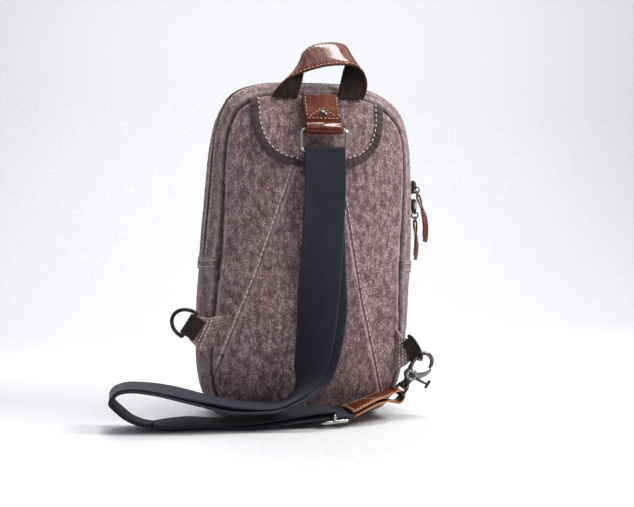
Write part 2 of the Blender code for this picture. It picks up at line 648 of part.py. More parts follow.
def build_triglide():
    """A raised centre bar, so that the webbing runs straight over the end bars and under the middle."""
    clear = STRAP_LAYER / 2 + GLIDE_WIRE + GAP + 0.0002
    centre = SLIDE_LOW + SLIDE_AXIS * GLIDE_AT
    across = Vector((0, -1, 0))
    half_long, half_wide = 0.0118, STRAP_WIDTH / 2 + 0.0026
    low = centre - SLIDE_NORMAL * clear
    frame_loop = rounded_loop(low, SLIDE_AXIS, across, (2 * half_long, 2 * half_wide), 0.003, 3)
    frame = as_mesh(wire("triglide", "nickel", frame_loop, GLIDE_WIRE))
    high = centre + SLIDE_NORMAL * clear
    bar_points = smooth_path([low + across * half_wide, high + across * half_wide * 0.998,
                              high - across * half_wide * 0.998, low - across * half_wide], 1)
    bar = as_mesh(wire("triglide_bar", "nickel", bar_points, GLIDE_WIRE * 0.95, cyclic=False))
    combine(frame, [bar], "UNION")

    fold = GLIDE_WIRE + 0.0004 + STRAP_LAYER / 2
    stations = []
    for k in range(7):
        angle = math.pi * (-0.10 + 0.60 * k / 6)
        direction = SLIDE_AXIS * math.cos(angle) + SLIDE_NORMAL * math.sin(angle)
        stations.append((high + direction * fold, direction, 0.0360))
    for back, rise in ((0.010, 0.0), (0.024, -0.0012), (0.042, -0.0022)):
        point = high - SLIDE_AXIS * back + SLIDE_NORMAL * (fold + rise)
        stations.append((point, SLIDE_NORMAL, 0.0360))
    ribbon("strap_slider_tail", "webbing", stations, STRAP_LAYER, per_span=2)


# ---------------------------------------------------------------- end tab and swivel hook
EYE = Vector((0.0870, -0.0495, 0.0270))           # middle of the swivel eye
HOOK_UP = Vector((0.630, 0.0, 0.777)).normalized()
HOOK_SIDE = Vector((HOOK_UP.z, 0.0, -HOOK_UP.x))
HOOK_OUT = Vector((0, -1, 0))
EYE_BAR = -0.0050                                 # the eye's lower bar, along the hook from its middle
EYE_TOP = 0.0050
PIVOT = (0.0160, -0.0015)                         # lever's pivot, along and across the hook
HOOK_BEND = [                     # the bend's centre line: along, across and towards the viewer
    (0.0120, -0.0010, 0.0), (0.0165, -0.0038, -0.0003), (0.0225, -0.0064, 0.0006), (0.0290, -0.0076, 0.0020),
    (0.0350, -0.0070, 0.0027), (0.0396, -0.0038, 0.0025), (0.0412, 0.0012, 0.0017), (0.0396, 0.0062, 0.0008),
    (0.0358, 0.0090, 0.0002), (0.0318, 0.0094, 0.0)]


def hook_point(along, side, out=0.0):
    return EYE + HOOK_UP * along + HOOK_SIDE * side + HOOK_OUT * out


def build_end_tab():
    """Leather strip folded round the swivel eye's bar; the webbing's end is sewn between its layers."""
    bar = hook_point(EYE_BAR, 0)
    half = 0.0008
    fold = 0.0015 + 0.0005 + half
    layer = STRAP_LAYER / 2 + 0.0006 + half
    stations = [(p - n * layer, -n, w) for p, n, w in SEWN_END]
    stations += [((0.0650, -0.0570, 0.0182), (0.05, 0, -1), 0.0265),
                 ((0.0745, -0.0520, 0.0168), (0.05, 0, -1), 0.0205)]
    for k in range(8):
        angle = -2.15 + 3.55 * k / 7
        direction = Vector((math.cos(angle), 0, math.sin(angle)))
        slack = 1.25 if k < 3 else 1.0
        stations.append((bar + direction * fold * slack, direction, 0.0190))
    stations += [((0.0750, -0.0520, 0.0245), (-0.2, 0, 1), 0.0205),
                 ((0.0650, -0.0570, 0.0228), (-0.2, 0, 1), 0.0265)]
    stations += [(p + n * layer, n, w) for p, n, w in reversed(SEWN_END)]
    ribbon("end_tab", "leather", stations, 0.0016, per_span=2)


def build_hook():
    right = HOOK_OUT
    middle = hook_point((EYE_TOP + EYE_BAR) / 2, 0)
    eye_loop = rounded_loop(middle, right, HOOK_UP, (0.0265, EYE_TOP - EYE_BAR), 0.0030, 3)
    eye = as_mesh(wire("swivel_eye", "gunmetal", eye_loop, 0.0015))
    frame = (right, HOOK_SIDE, HOOK_UP)
    block = box("swivel_eye_block", "gunmetal", hook_point(EYE_TOP, 0), (0.0092, 0.0076, 0.0036), frame)
    hole = turned("swivel_eye_hole", "gunmetal", [(0, -0.004), (0.0019, -0.004), (0.0019, 0.004), (0, 0.004)],
                  hook_point(EYE_TOP, 0), HOOK_UP, 16)
    combine(eye, [block], "UNION")
    combine(eye, [hole], "DIFFERENCE")

    bend = smooth_path([hook_point(*place) for place in HOOK_BEND], 3)
    hook = as_mesh(wire("hook_body", "gunmetal", bend, 0.0021, cyclic=False))
    boss = turned("hook_boss", "gunmetal", [(0, -0.0034), (0.0052, -0.0034), (0.0052, 0.0022), (0, 0.0022)],
                  hook_point(*PIVOT), HOOK_OUT, 20)
    neck = [(0, -0.0004), (0.0030, -0.0004), (0.0030, 0.0014), (0.0015, 0.0014), (0.0015, 0.0074),
            (0.0036, 0.0074), (0.0036, 0.0092), (0.0022, 0.0100), (0.0022, 0.0130), (0, 0.0130)]
    stem = turned("hook_stem", "gunmetal", neck, hook_point(0, 0), HOOK_UP, 16)
    combine(hook, [boss, stem], "UNION")

    plate_out = 0.0022 + GAP + 0.0008
    gate_path = ((0.0318, 0.0102), (0.0265, 0.0096), (0.0200, 0.0052), (0.0160, 0.0030))
    gate = smooth_path([hook_point(a, s, plate_out) for a, s in gate_path], 3)
    gate_body = as_mesh(wire("hook_lever", "nickel", gate, 0.0007, cyclic=False))
    disc = turned("lever_disc", "nickel", [(0, -0.0008), (0.0048, -0.0008), (0.0048, 0.0008), (0, 0.0008)],
                  hook_point(*PIVOT, plate_out), HOOK_OUT, 20)
    tail_points = [hook_point(a, s, plate_out) for a, s in ((0.0160, 0.0020), (0.0170, 0.0095), (0.0185, 0.0165))]
    tail = as_mesh(wire("lever_tail", "nickel", tail_points, 0.00078, cyclic=False))
    cross = as_mesh(wire("lever_cross", "nickel", [hook_point(0.0150, 0.0168, plate_out),
                                                  hook_point(0.0222, 0.0162, plate_out)], 0.0012, cyclic=False))
    combine(gate_body, [disc, tail, cross], "UNION")
    rivet = [(0, 0), (0.0026, 0), (0.0026, 0.0006), (0.0018, 0.0012), (0, 0.0014)]
    turned("hook_pivot_rivet", "gunmetal", rivet, hook_point(*PIVOT, plate_out + 0.0008 + GAP), HOOK_OUT, 16)


# ---------------------------------------------------------------- corner wings and D-rings
def d_loop(bar_centre, bar_dir, out_dir, half_bar, reach):
    """Centre line of a D: a straight bar and a half-round bow."""
    points = [bar_centre - bar_dir * half_bar, bar_centre - bar_dir * half_bar / 3,
              bar_centre + bar_dir * half_bar / 3, bar_centre + bar_dir * half_bar]
    for k in range(1, 12):
        angle = math.pi * k / 12
        points.append(bar_centre + bar_dir * (half_bar * math.cos(angle))
                      + out_dir * (reach * math.sin(angle) ** 0.9))
    return points


LEFT_BAR = Vector((-0.1105, -0.0450, 0.0905))
LEFT_BAR_DIR = Vector((-0.54, 0.0, -0.84)).normalized()
LEFT_OUT = Vector((-0.84, 0.0, 0.54)).normalized()
RIGHT_BAR = Vector((0.1010, -0.0445, 0.0648))
RIGHT_BAR_DIR = Vector((0.4068, 0.0, -0.9135)).normalized()
RIGHT_IN = Vector((-0.9135, 0.0, -0.4068)).normalized()
D_REACH = 0.0165
HALF_WING = CANVAS * 0.75


def web_loop(name, bar, bar_dir, inward, face, gap_half, reach):
    """A short webbing strip folded round the D-ring's bar, one leg on each face of the wing."""
    fold = D_WIRE + 0.0004 + STRAP_LAYER / 2
    legs = gap_half + GAP + STRAP_LAYER / 2
    stations = [(bar + inward * reach + face * legs, face, D_WEB),
                (bar + inward * 0.0070 + face * legs, face, D_WEB)]
    for k in range(7):
        angle = math.pi * (0.5 - k / 6)
        direction = face * math.sin(angle) - inward * math.cos(angle)
        stations.append((bar + direction * fold, direction, D_WEB))
    stations += [(bar + inward * 0.0070 - face * legs, -face, D_WEB),
                 (bar + inward * reach - face * legs, -face, D_WEB)]
    ribbon(name, "webbing", stations, STRAP_LAYER, per_span=2)


def build_corner(side, bar, bar_dir, inward, out_dir, seam, middle, reach):
    """A canvas wing from the body's seam, the webbing on its end, and the D-ring that the webbing holds."""
    face = inward.cross(bar_dir).normalized()
    if face.y > 0:
        face = -face
    wing = [seam, (middle[0], face, middle[1]), (bar + inward * 0.0055, face, 0.0215)]
    ribbon(f"{side}_wing", "canvas", wing, 2 * HALF_WING, per_span=4)
    web_loop(f"{side}_ring_webbing", bar, bar_dir, inward, face, HALF_WING, reach)
    wire(f"{side}_d_ring", "gunmetal", d_loop(bar, bar_dir, out_dir, 0.0122, D_REACH), D_WIRE)


def build_corners():
    """The left ring lies open beside the bag; the hook has turned the right one towards the viewer."""
    build_corner("left", LEFT_BAR, LEFT_BAR_DIR, -LEFT_OUT, LEFT_OUT,
                 ((-0.0885, -0.0440, 0.0800), (-0.1, -1, 0), 0.0400),
                 ((-0.0950, -0.0450, 0.0820), 0.0320), 0.0110)
    build_corner("right", RIGHT_BAR, RIGHT_BAR_DIR, RIGHT_IN, Vector((0, -1, 0)),
                 ((0.0832, -0.0440, 0.0622), (0.1, -1, 0), 0.0395),
                 ((0.0888, -0.0446, 0.0620), 0.0310), 0.0090)


# ---------------------------------------------------------------- zip sliders
SLIDERS = [                       # name, its zip's depth, height, pull's end, pull's length, lean and tilt
    ("upper", ZIP_BACK_Y, 0.2180, 1, 0.047, 0.260, -0.20),
    ("lower", ZIP_BACK_Y, 0.2005, -1, 0.038, 0.100, 0.17),
    ("front", ZIP_FRONT_Y, 0.1750, -1, 0.030, 0.050, -0.06)]


def build_slider(label, y, z, pull_end, length, lean, tilt):
    """Slider body on the teeth, a wire link through its bridge, and a leather pull on the link.

    The link and the pull lean away from the bag, and tilt to its front or back, so that the pulls pass each other.
    """
    plate_at = gusset_point(angle_at_height(z, 1), y).x + 0.0024
    body = box(f"{label}_slider", "gunmetal", (plate_at, y, z), (0.0016, 0.0086, 0.0120))
    nose = box(f"{label}_slider_nose", "gunmetal", (plate_at, y, z - pull_end * 0.0062), (0.0016, 0.0056, 0.0030))
    bridge_points = [Vector((plate_at + dx, y, z + dz)) for dx, dz in
                     ((0.0004, -0.0054), (0.0025, -0.0052), (0.0030, -0.0044), (0.0030, 0.0044),
                      (0.0025, 0.0052), (0.0004, 0.0054))]
    bridge = as_mesh(wire(f"{label}_slider_bridge", "gunmetal", bridge_points, 0.0006, cyclic=False))
    combine(body, [nose, bridge], "UNION")

    hang = Vector((math.sin(lean) * math.cos(tilt), math.sin(tilt), -math.cos(lean) * math.cos(tilt)))
    side = (Vector((0, 1, 0)) - hang * hang.y).normalized()
    hinge = Vector((plate_at + 0.0016, y, z + pull_end * 0.0034))
    link_size = (0.0078, 0.0125)
    link_wire = 0.0005
    wire(f"{label}_pull_link", "nickel",
         rounded_loop(hinge + hang * (link_size[1] / 2), side, hang, link_size, 0.0024, 3), link_wire)

    eye = hinge + hang * link_size[1]
    thick = 0.0010
    fold = link_wire + GAP + thick / 2
    legs = thick / 2 + 0.00015
    normal = hang.cross(side).normalized()
    stations = [(eye + hang * length + normal * legs, normal, 0.0058),
                (eye + hang * 0.012 + normal * legs, normal, 0.0058),
                (eye + hang * 0.0045 + normal * fold, normal, 0.0048)]
    for k in range(7):
        angle = math.pi * (0.5 - k / 6)
        direction = normal * math.sin(angle) - hang * math.cos(angle)
        stations.append((eye + direction * fold, direction, 0.0026))
    stations += [(eye + hang * 0.0045 - normal * fold, -normal, 0.0048),
                 (eye + hang * 0.012 - normal * legs, -normal, 0.0058),
                 (eye + hang * length - normal * legs, -normal, 0.0058)]
    ribbon(f"{label}_leather_pull", "leather", stations, thick, per_span=2)


build_body()
build_yoke()
build_handle()
build_ring_tab()
build_strap()
build_triglide()
build_end_tab()
build_hook()
build_corners()
for slider in SLIDERS:
    build_slider(*slider)
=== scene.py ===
"""Sling bag: the visual model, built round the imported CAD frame.

Every length is in metres, in the frame of the CAD: +X right when the back panel is seen, -Y out of that
panel, +Z up.
"""
import json
import math

import bmesh
import bpy
import numpy as np
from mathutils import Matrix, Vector, noise

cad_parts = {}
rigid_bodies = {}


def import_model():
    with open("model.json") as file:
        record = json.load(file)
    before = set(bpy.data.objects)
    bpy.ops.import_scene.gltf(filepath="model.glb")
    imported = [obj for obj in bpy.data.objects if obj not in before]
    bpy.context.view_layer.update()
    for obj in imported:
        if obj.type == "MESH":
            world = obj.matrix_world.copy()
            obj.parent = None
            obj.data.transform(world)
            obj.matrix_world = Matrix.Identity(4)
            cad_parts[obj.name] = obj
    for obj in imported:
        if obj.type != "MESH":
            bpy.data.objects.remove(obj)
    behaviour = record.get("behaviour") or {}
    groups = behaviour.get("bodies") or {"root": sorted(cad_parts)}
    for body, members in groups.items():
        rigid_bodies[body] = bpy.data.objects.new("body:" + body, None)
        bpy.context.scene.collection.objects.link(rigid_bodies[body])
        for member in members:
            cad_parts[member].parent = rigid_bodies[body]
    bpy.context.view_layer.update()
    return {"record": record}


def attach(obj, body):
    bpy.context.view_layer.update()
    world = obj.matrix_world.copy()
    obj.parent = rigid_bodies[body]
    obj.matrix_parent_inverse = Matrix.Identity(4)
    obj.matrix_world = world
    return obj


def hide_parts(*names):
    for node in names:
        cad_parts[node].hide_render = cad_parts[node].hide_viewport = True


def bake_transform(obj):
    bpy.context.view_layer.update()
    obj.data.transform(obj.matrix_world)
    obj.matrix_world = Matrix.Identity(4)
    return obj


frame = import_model()

X = np.array([1.0, 0.0, 0.0])
Y = np.array([0.0, 1.0, 0.0])
Z = np.array([0.0, 0.0, 1.0])

# ---------------------------------------------------------------- sizes shared with the CAD
BODY_CENTRE = (0.004, 0.150)
CREST_POINTS = [
    (-0.005, 0.000), (-0.045, 0.000), (-0.076, 0.002), (-0.092, 0.014), (-0.099, 0.040), (-0.1005, 0.075),
    (-0.0995, 0.115), (-0.0955, 0.165), (-0.0915, 0.210), (-0.087, 0.255), (-0.080, 0.285), (-0.067, 0.3045),
    (-0.040, 0.3135), (0.000, 0.3155), (0.040, 0.3145), (0.072, 0.3060), (0.093, 0.2885), (0.1015, 0.260),
    (0.1040, 0.220), (0.1045, 0.180), (0.1035, 0.145), (0.1015, 0.110), (0.0985, 0.070), (0.0930, 0.036),
    (0.0820, 0.012), (0.0640, 0.0015), (0.030, 0.000)]
SEAM_Y = 0.040
CREST_BACK = -0.022
CREST_FRONT = 0.020
SEAM_INSET = 0.0140
BASE_INSET = 0.0070
BACK_CROWN = 0.020
FRONT_CROWN = 0.018
CROWN_POWER = 2.6
CANVAS = 0.0014                   # thickness of the cloth
ZIP_BACK_Y = -0.022
ZIP_FRONT_Y = 0.020
LEFT_HEM_Z = 0.151
RIGHT_HEM_Z = 0.147
STRAP_WIDTH = 0.038
STRAP_LAYER = 0.0016
BAR_CLEAR = 0.0004                # air between a metal bar and what is folded round it


# ---------------------------------------------------------------- curves and grids
def spline(points, per_span=10, closed=False):
    """Catmull-Rom curve through rows of numbers."""
    pts = np.asarray(points, float)
    count = len(pts)
    spans = count if closed else count - 1
    steps = np.linspace(0, 1, per_span, endpoint=False)[:, None]
    out = []
    for i in range(spans):
        b, c = pts[i], pts[(i + 1) % count]
        a = pts[(i - 1) % count] if closed or i > 0 else 2 * b - c
        d = pts[(i + 2) % count] if closed or i + 2 < count else 2 * c - b
        out.append(0.5 * (2 * b + (c - a) * steps + (2 * a - 5 * b + 4 * c - d) * steps ** 2
                          + (3 * b - a - 3 * c + d) * steps ** 3))
    if not closed:
        out.append(pts[-1:])
    return np.concatenate(out)


def respaced(rows, step, closed=False):
    """The same curve with its points evenly step apart, measured over the first three columns."""
    rows = np.asarray(rows, float)
    if closed:
        rows = np.vstack([rows, rows[:1]])
    run = np.concatenate([[0], np.cumsum(np.linalg.norm(np.diff(rows[:, :3], axis=0), axis=1))])
    count = max(2, int(round(run[-1] / step)) + 1)
    at = np.linspace(0, run[-1], count)
    out = np.stack([np.interp(at, run, rows[:, k]) for k in range(rows.shape[1])], axis=1)
    return out[:-1] if closed else out


def unit(v):
    v = np.asarray(v, float)
    return v / np.maximum(np.linalg.norm(v, axis=-1, keepdims=True), 1e-12)


def noise_at(points, scale, seed=0.0):
    """Smooth noise from about -1 to 1 at each point, features about scale metres across."""
    flat = np.asarray(points, float).reshape(-1, 3) / scale + seed
    values = [noise.noise(Vector(p)) for p in flat]
    return np.array(values).reshape(np.shape(points)[:-1])


def bump(distance, width):
    return np.exp(-(distance / width) ** 2)


def segment_distance(x, z, path):
    """Distance in the x-z plane to a polyline, and how far along it the nearest point lies."""
    best = np.full(np.shape(x), 1e9)
    along = np.zeros(np.shape(x))
    run = 0.0
    for (ax, az), (bx, bz) in zip(path[:-1], path[1:]):
        dx, dz = bx - ax, bz - az
        size = math.hypot(dx, dz)
        t = np.clip(((x - ax) * dx + (z - az) * dz) / size ** 2, 0, 1)
        dist = np.hypot(x - ax - t * dx, z - az - t * dz)
        closer = dist < best
        best = np.where(closer, dist, best)
        along = np.where(closer, run + t * size, along)
        run += size
    return best, along


# ---------------------------------------------------------------- meshes
def face_outwards(mesh):
    """Turn the faces of closed shapes to look outwards."""
    work = bmesh.new()
    work.from_mesh(mesh)
    bmesh.ops.recalc_face_normals(work, faces=work.faces)
    work.to_mesh(mesh)
    work.free()


def make(name, verts, faces, mat, body="bag", slot=None, replaces=(), smooth=True, attrs=None, sharp=None,
         solid=True):
    """A piece as a mesh object that rides on a body."""
    mesh = bpy.data.meshes.new(name)
    mesh.from_pydata(np.asarray(verts, float).tolist(), [], [tuple(int(i) for i in f) for f in faces])
    if solid:
        face_outwards(mesh)
    if smooth:
        mesh.shade_smooth()
    if sharp:
        mesh.set_sharp_from_angle(angle=math.radians(sharp))
    for key, data in (attrs or {}).items():
        data = np.asarray(data, float)
        vector = data.ndim == 2
        layer = mesh.attributes.new(key, "FLOAT_VECTOR" if vector else "FLOAT", "POINT")
        layer.data.foreach_set("vector" if vector else "value", data.ravel())
    obj = bpy.data.objects.new(name, mesh)
    bpy.context.scene.collection.objects.link(obj)
    mesh.materials.append(MATERIALS[mat])
    if body:
        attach(obj, body)
    if replaces:
        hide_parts(*replaces)
    return obj


def grid_faces(rows, cols, wrap_rows=False, wrap_cols=False):
    i = np.arange(rows if wrap_rows else rows - 1)
    j = np.arange(cols if wrap_cols else cols - 1)
    a, b = np.meshgrid(i, j, indexing="ij")
    a2, b2 = (a + 1) % rows, (b + 1) % cols
    return np.stack([a * cols + b, a2 * cols + b, a2 * cols + b2, a * cols + b2], axis=-1).reshape(-1, 4)


def capped_faces(rows, cols):
    """Faces of a closed skin of rows rings, with a flat cap on each end."""
    faces = [tuple(f) for f in grid_faces(rows, cols, wrap_cols=True)]
    return faces + [tuple(range(cols))[::-1], tuple(range((rows - 1) * cols, rows * cols))]


def grid_normals(grid):
    du = np.gradient(grid, axis=0)
    dv = np.gradient(grid, axis=1)
    return unit(np.cross(du, dv))


def sheet_mesh(name, grid, mat, thickness, outward=1, **options):
    """A grid of points as cloth with thickness behind it. outward is -1 where the grid faces inwards."""
    rows, cols = grid.shape[:2]
    faces = grid_faces(rows, cols)
    if outward < 0:
        faces = faces[:, ::-1]
    obj = make(name, grid.reshape(-1, 3), faces, mat, solid=False, **options)
    thick = obj.modifiers.new("thickness", "SOLIDIFY")
    thick.thickness = thickness
    thick.offset = -1
    return obj


def sweep_frames(rows):
    """Centre, face normal, across and width along a band whose rows are centre, normal, width."""
    centre = rows[:, :3]
    tangent = unit(np.gradient(centre, axis=0))
    normal = rows[:, 3:6]
    normal = unit(normal - tangent * np.sum(normal * tangent, axis=1, keepdims=True))
    return centre, normal, np.cross(tangent, normal), rows[:, 6], tangent


def run_length(centre):
    return np.concatenate([[0], np.cumsum(np.linalg.norm(np.diff(centre, axis=0), axis=1))])


def station_rows(stations):
    """Rows of centre, normal and width from stations that give the three."""
    return [list(centre) + list(normal) + [width] for centre, normal, width in stations]


def band_rows(stations, step):
    return respaced(spline(station_rows(stations), 16), step)


def band_section(thickness, ribs=0, rib_height=0.0, corner=0.35, crown=0.0, across=14):
    """Closed outline of a band, from the left of its face: rows of share across (-1 to 1) and height."""
    count = max(across, ribs * 4) if ribs else across
    share = np.linspace(-1, 1, count + 1)
    edge = np.clip((1 - np.abs(share)) / 0.10, 0, 1)
    height = thickness / 2 * (1 - corner * (1 - np.sqrt(1 - (1 - edge) ** 2)))
    if ribs:
        height = height + rib_height * np.cos(share * math.pi * ribs) * edge
    top = np.stack([share, height + crown * (1 - share ** 2)], axis=1)
    low = np.stack([share[::-1], (-height + crown * (1 - share ** 2))[::-1]], axis=1)
    return np.vstack([top, low])


def band(name, rows, section, mat, taper=None, **options):
    """A band swept along rows from band_rows; taper may move its points."""
    centre, normal, across, width, _ = sweep_frames(rows)
    run = run_length(centre)
    verts = (centre[:, None] + across[:, None] * (section[None, :, :1] * width[:, None, None] / 2)
             + normal[:, None] * section[None, :, 1:])
    if taper is not None:
        verts = taper(verts, across, run, section)
    rows_n, cols = verts.shape[:2]
    faces = capped_faces(rows_n, cols)
    weave = np.stack(np.broadcast_arrays(run[:, None], section[None, :, 0] * width[:, None] / 2,
                                         section[None, :, 1]), axis=-1).reshape(-1, 3)
    edge = np.broadcast_to(np.clip((np.abs(section[:, 0]) - 0.80) / 0.2, 0, 1), verts.shape[:2]).ravel()
    attrs = {"weave": weave, "fade": edge}
    return make(name, verts.reshape(-1, 3), faces, mat, attrs=attrs, **options)


def tube(name, points, radius, mat, closed=False, sides=14, flat=None, **options):
    """Round wire along points; flat squeezes its section along the given direction by the given share."""
    points = np.asarray(points, float)
    count = len(points)
    if closed:
        tangent = unit(np.roll(points, -1, axis=0) - np.roll(points, 1, axis=0))
    else:
        tangent = unit(np.gradient(points, axis=0))
    start = Z if abs(tangent[0][2]) < 0.9 else X
    side = unit(np.cross(start, tangent[0]))
    sides_out = []
    for t in tangent:
        side = unit(side - t * np.dot(side, t))
        sides_out.append(side)
    sides_out = np.array(sides_out)
    if closed:
        twist_end = unit(sides_out[-1] - tangent[0] * np.dot(sides_out[-1], tangent[0]))
        angle = math.atan2(np.dot(np.cross(twist_end, sides_out[0]), tangent[0]),
                           np.dot(twist_end, sides_out[0]))
    else:
        angle = 0.0
    turn = angle * np.arange(count) / count
    up = np.cross(tangent, sides_out)
    sides_turned = sides_out * np.cos(turn)[:, None] + up * np.sin(turn)[:, None]
    up = np.cross(tangent, sides_turned)
    ring = np.linspace(0, 2 * math.pi, sides, endpoint=False)
    radius = np.broadcast_to(radius, (count,))
    offset = (sides_turned[:, None] * np.cos(ring)[None, :, None] + up[:, None] * np.sin(ring)[None, :, None])
    offset = offset * radius[:, None, None]
    if flat is not None:
        way, keep = flat
        way = unit(way)
        offset = offset - way * np.sum(offset * way, axis=-1, keepdims=True) * (1 - keep)
    verts = points[:, None] + offset
    faces = grid_faces(count, sides, wrap_rows=True, wrap_cols=True) if closed else capped_faces(count, sides)
    return make(name, verts.reshape(-1, 3), faces, mat, sharp=50 if not closed else None, **options)


def lathe(name, profile, centre, axis, mat, steps=32, **options):
    """A turned piece; profile is (radius, height) from one end on the axis to the other."""
    turn = Vector(axis).to_track_quat("Z", "Y").to_matrix()
    frame_axes = np.array([turn.col[k] for k in range(3)])
    verts, rings, faces = [], [], []
    for radius, height in profile:
        if radius == 0:
            rings.append([len(verts)])
            verts.append(centre + frame_axes[2] * height)
            continue
        rings.append(list(range(len(verts), len(verts) + steps)))
        for k in range(steps):
            a = 2 * math.pi * k / steps
            verts.append(centre + (frame_axes[0] * math.cos(a) + frame_axes[1] * math.sin(a)) * radius
                         + frame_axes[2] * height)
    for low, high in zip(rings, rings[1:]):
        for k in range(steps):
            n = (k + 1) % steps
            if len(low) == 1:
                faces.append((low[0], high[n], high[k]))
            elif len(high) == 1:
                faces.append((low[k], low[n], high[0]))
            else:
                faces.append((low[k], low[n], high[n], high[k]))
    return make(name, np.array(verts), faces, mat, sharp=35, **options)


def stitches(name, path, normals, mat="thread", length=0.0031, gap=0.0012, radius=0.00038, lift=0.00025,
             **options):
    """A row of separate stitches lying on a surface along path."""
    rows = respaced(np.hstack([path, normals]), 0.0004)
    run = run_length(rows[:, :3])
    pitch = length + gap
    count = max(1, int((run[-1] - length) / pitch) + 1)
    share = np.array([-1.0, -0.82, -0.35, 0.35, 0.82, 1.0])
    height = lift - (radius * 1.9 + lift) * np.abs(share) ** 5
    thick = radius * np.array([0.35, 0.85, 1.0, 1.0, 0.85, 0.35])
    ring = np.linspace(0, 2 * math.pi, 6, endpoint=False)
    one = capped_faces(share.size, ring.size)
    verts, faces = [], []
    for k in range(count):
        middle = length / 2 + k * pitch
        at = middle + share * length / 2
        spot = np.stack([np.interp(at, run, rows[:, c]) for c in range(6)], axis=1)
        centre, normal = spot[:, :3], unit(spot[:, 3:])
        tangent = unit(centre[-1] - centre[0])
        across = unit(np.cross(tangent, normal))
        centre = centre + normal * height[:, None]
        shape = (centre[:, None] + across[:, None] * (np.cos(ring)[None, :, None] * thick[:, None, None])
                 + normal[:, None] * (np.sin(ring)[None, :, None] * thick[:, None, None]))
        verts.append(shape.reshape(-1, 3))
        faces += [tuple(k * ring.size * share.size + i for i in face) for face in one]
    return make(name, np.concatenate(verts), faces, mat, **options)


# ---------------------------------------------------------------- materials
class Shader:
    """A Principled BSDF with its nodes placed in a row."""

    def __init__(self, name):
        self.mat = bpy.data.materials.new(name)
        self.mat.use_nodes = True
        self.nodes = self.mat.node_tree.nodes
        self.links = self.mat.node_tree.links
        self.bsdf = self.nodes["Principled BSDF"]
        self.column = 0
        self.coords = self.add("ShaderNodeTexCoord").outputs["Object"]

    def add(self, kind, **values):
        node = self.nodes.new(kind)
        node.location = (-1600 + 60 * self.column, 300 - 40 * self.column)
        self.column += 1
        for key, value in values.items():
            setattr(node, key, value)
        return node

    def feed(self, socket, value):
        if isinstance(value, bpy.types.NodeSocket):
            self.links.new(value, socket)
        else:
            socket.default_value = value

    def set(self, **values):
        for key, value in values.items():
            self.feed(self.bsdf.inputs[key.replace("_", " ")], value)

    def attribute(self, name, output="Fac"):
        return self.add("ShaderNodeAttribute", attribute_name=name).outputs[output]

    def noise(self, scale, detail=4.0, rough=0.55, stretch=None):
        source = self.stretched(self.coords, stretch) if stretch else self.coords
        node = self.add("ShaderNodeTexNoise")
        self.feed(node.inputs["Vector"], source)
        self.feed(node.inputs["Scale"], scale)
        self.feed(node.inputs["Detail"], detail)
        self.feed(node.inputs["Roughness"], rough)
        return node.outputs["Fac"]

    def stretched(self, vector, factors):
        node = self.add("ShaderNodeVectorMath", operation="MULTIPLY")
        self.feed(node.inputs[0], vector)
        node.inputs[1].default_value = factors
        return node.outputs[0]

    def wave(self, pitch, vector, direction):
        """Bands that repeat every pitch metres along X or Y of vector."""
        node = self.add("ShaderNodeTexWave", wave_type="BANDS", bands_direction=direction)
        self.feed(node.inputs["Vector"], vector)
        node.inputs["Scale"].default_value = math.pi / 10 / pitch
        node.inputs["Distortion"].default_value = 0.0
        return node.outputs["Fac"]

    def ramp(self, value, low, high, out_low=0.0, out_high=1.0):
        node = self.add("ShaderNodeMapRange", clamp=True)
        for key, item in (("Value", value), ("From Min", low), ("From Max", high), ("To Min", out_low),
                          ("To Max", out_high)):
            self.feed(node.inputs[key], item)
        return node.outputs["Result"]

    def math(self, operation, a, b=0.0):
        node = self.add("ShaderNodeMath", operation=operation)
        self.feed(node.inputs[0], a)
        self.feed(node.inputs[1], b)
        return node.outputs[0]

    def mix(self, share, a, b):
        node = self.add("ShaderNodeMix", data_type="RGBA")
        self.feed(node.inputs["Factor"], share)
        self.feed(node.inputs[6], a)
        self.feed(node.inputs[7], b)
        return node.outputs[2]

    def bump(self, height, distance, strength=1.0, below=None):
        node = self.add("ShaderNodeBump")
        self.feed(node.inputs["Height"], height)
        node.inputs["Distance"].default_value = distance
        node.inputs["Strength"].default_value = strength
        if below is not None:
            self.links.new(below, node.inputs["Normal"])
        return node.outputs["Normal"]


def srgb(r, g, b):
    """A linear colour from the 0 to 255 numbers of a colour picker."""
    def linear(c):
        c = c / 255
        return c / 12.92 if c <= 0.04045 else ((c + 0.055) / 1.055) ** 2.4
    return (linear(r), linear(g), linear(b), 1.0)


def woven(shader, pitch, depth):
    """Plain weave bump from the weave attribute."""
    weave = shader.attribute("weave", "Vector")
    warp = shader.wave(pitch, weave, "X")
    weft = shader.wave(pitch, weave, "Y")
    return shader.bump(shader.math("MULTIPLY", warp, weft), depth, 0.9)


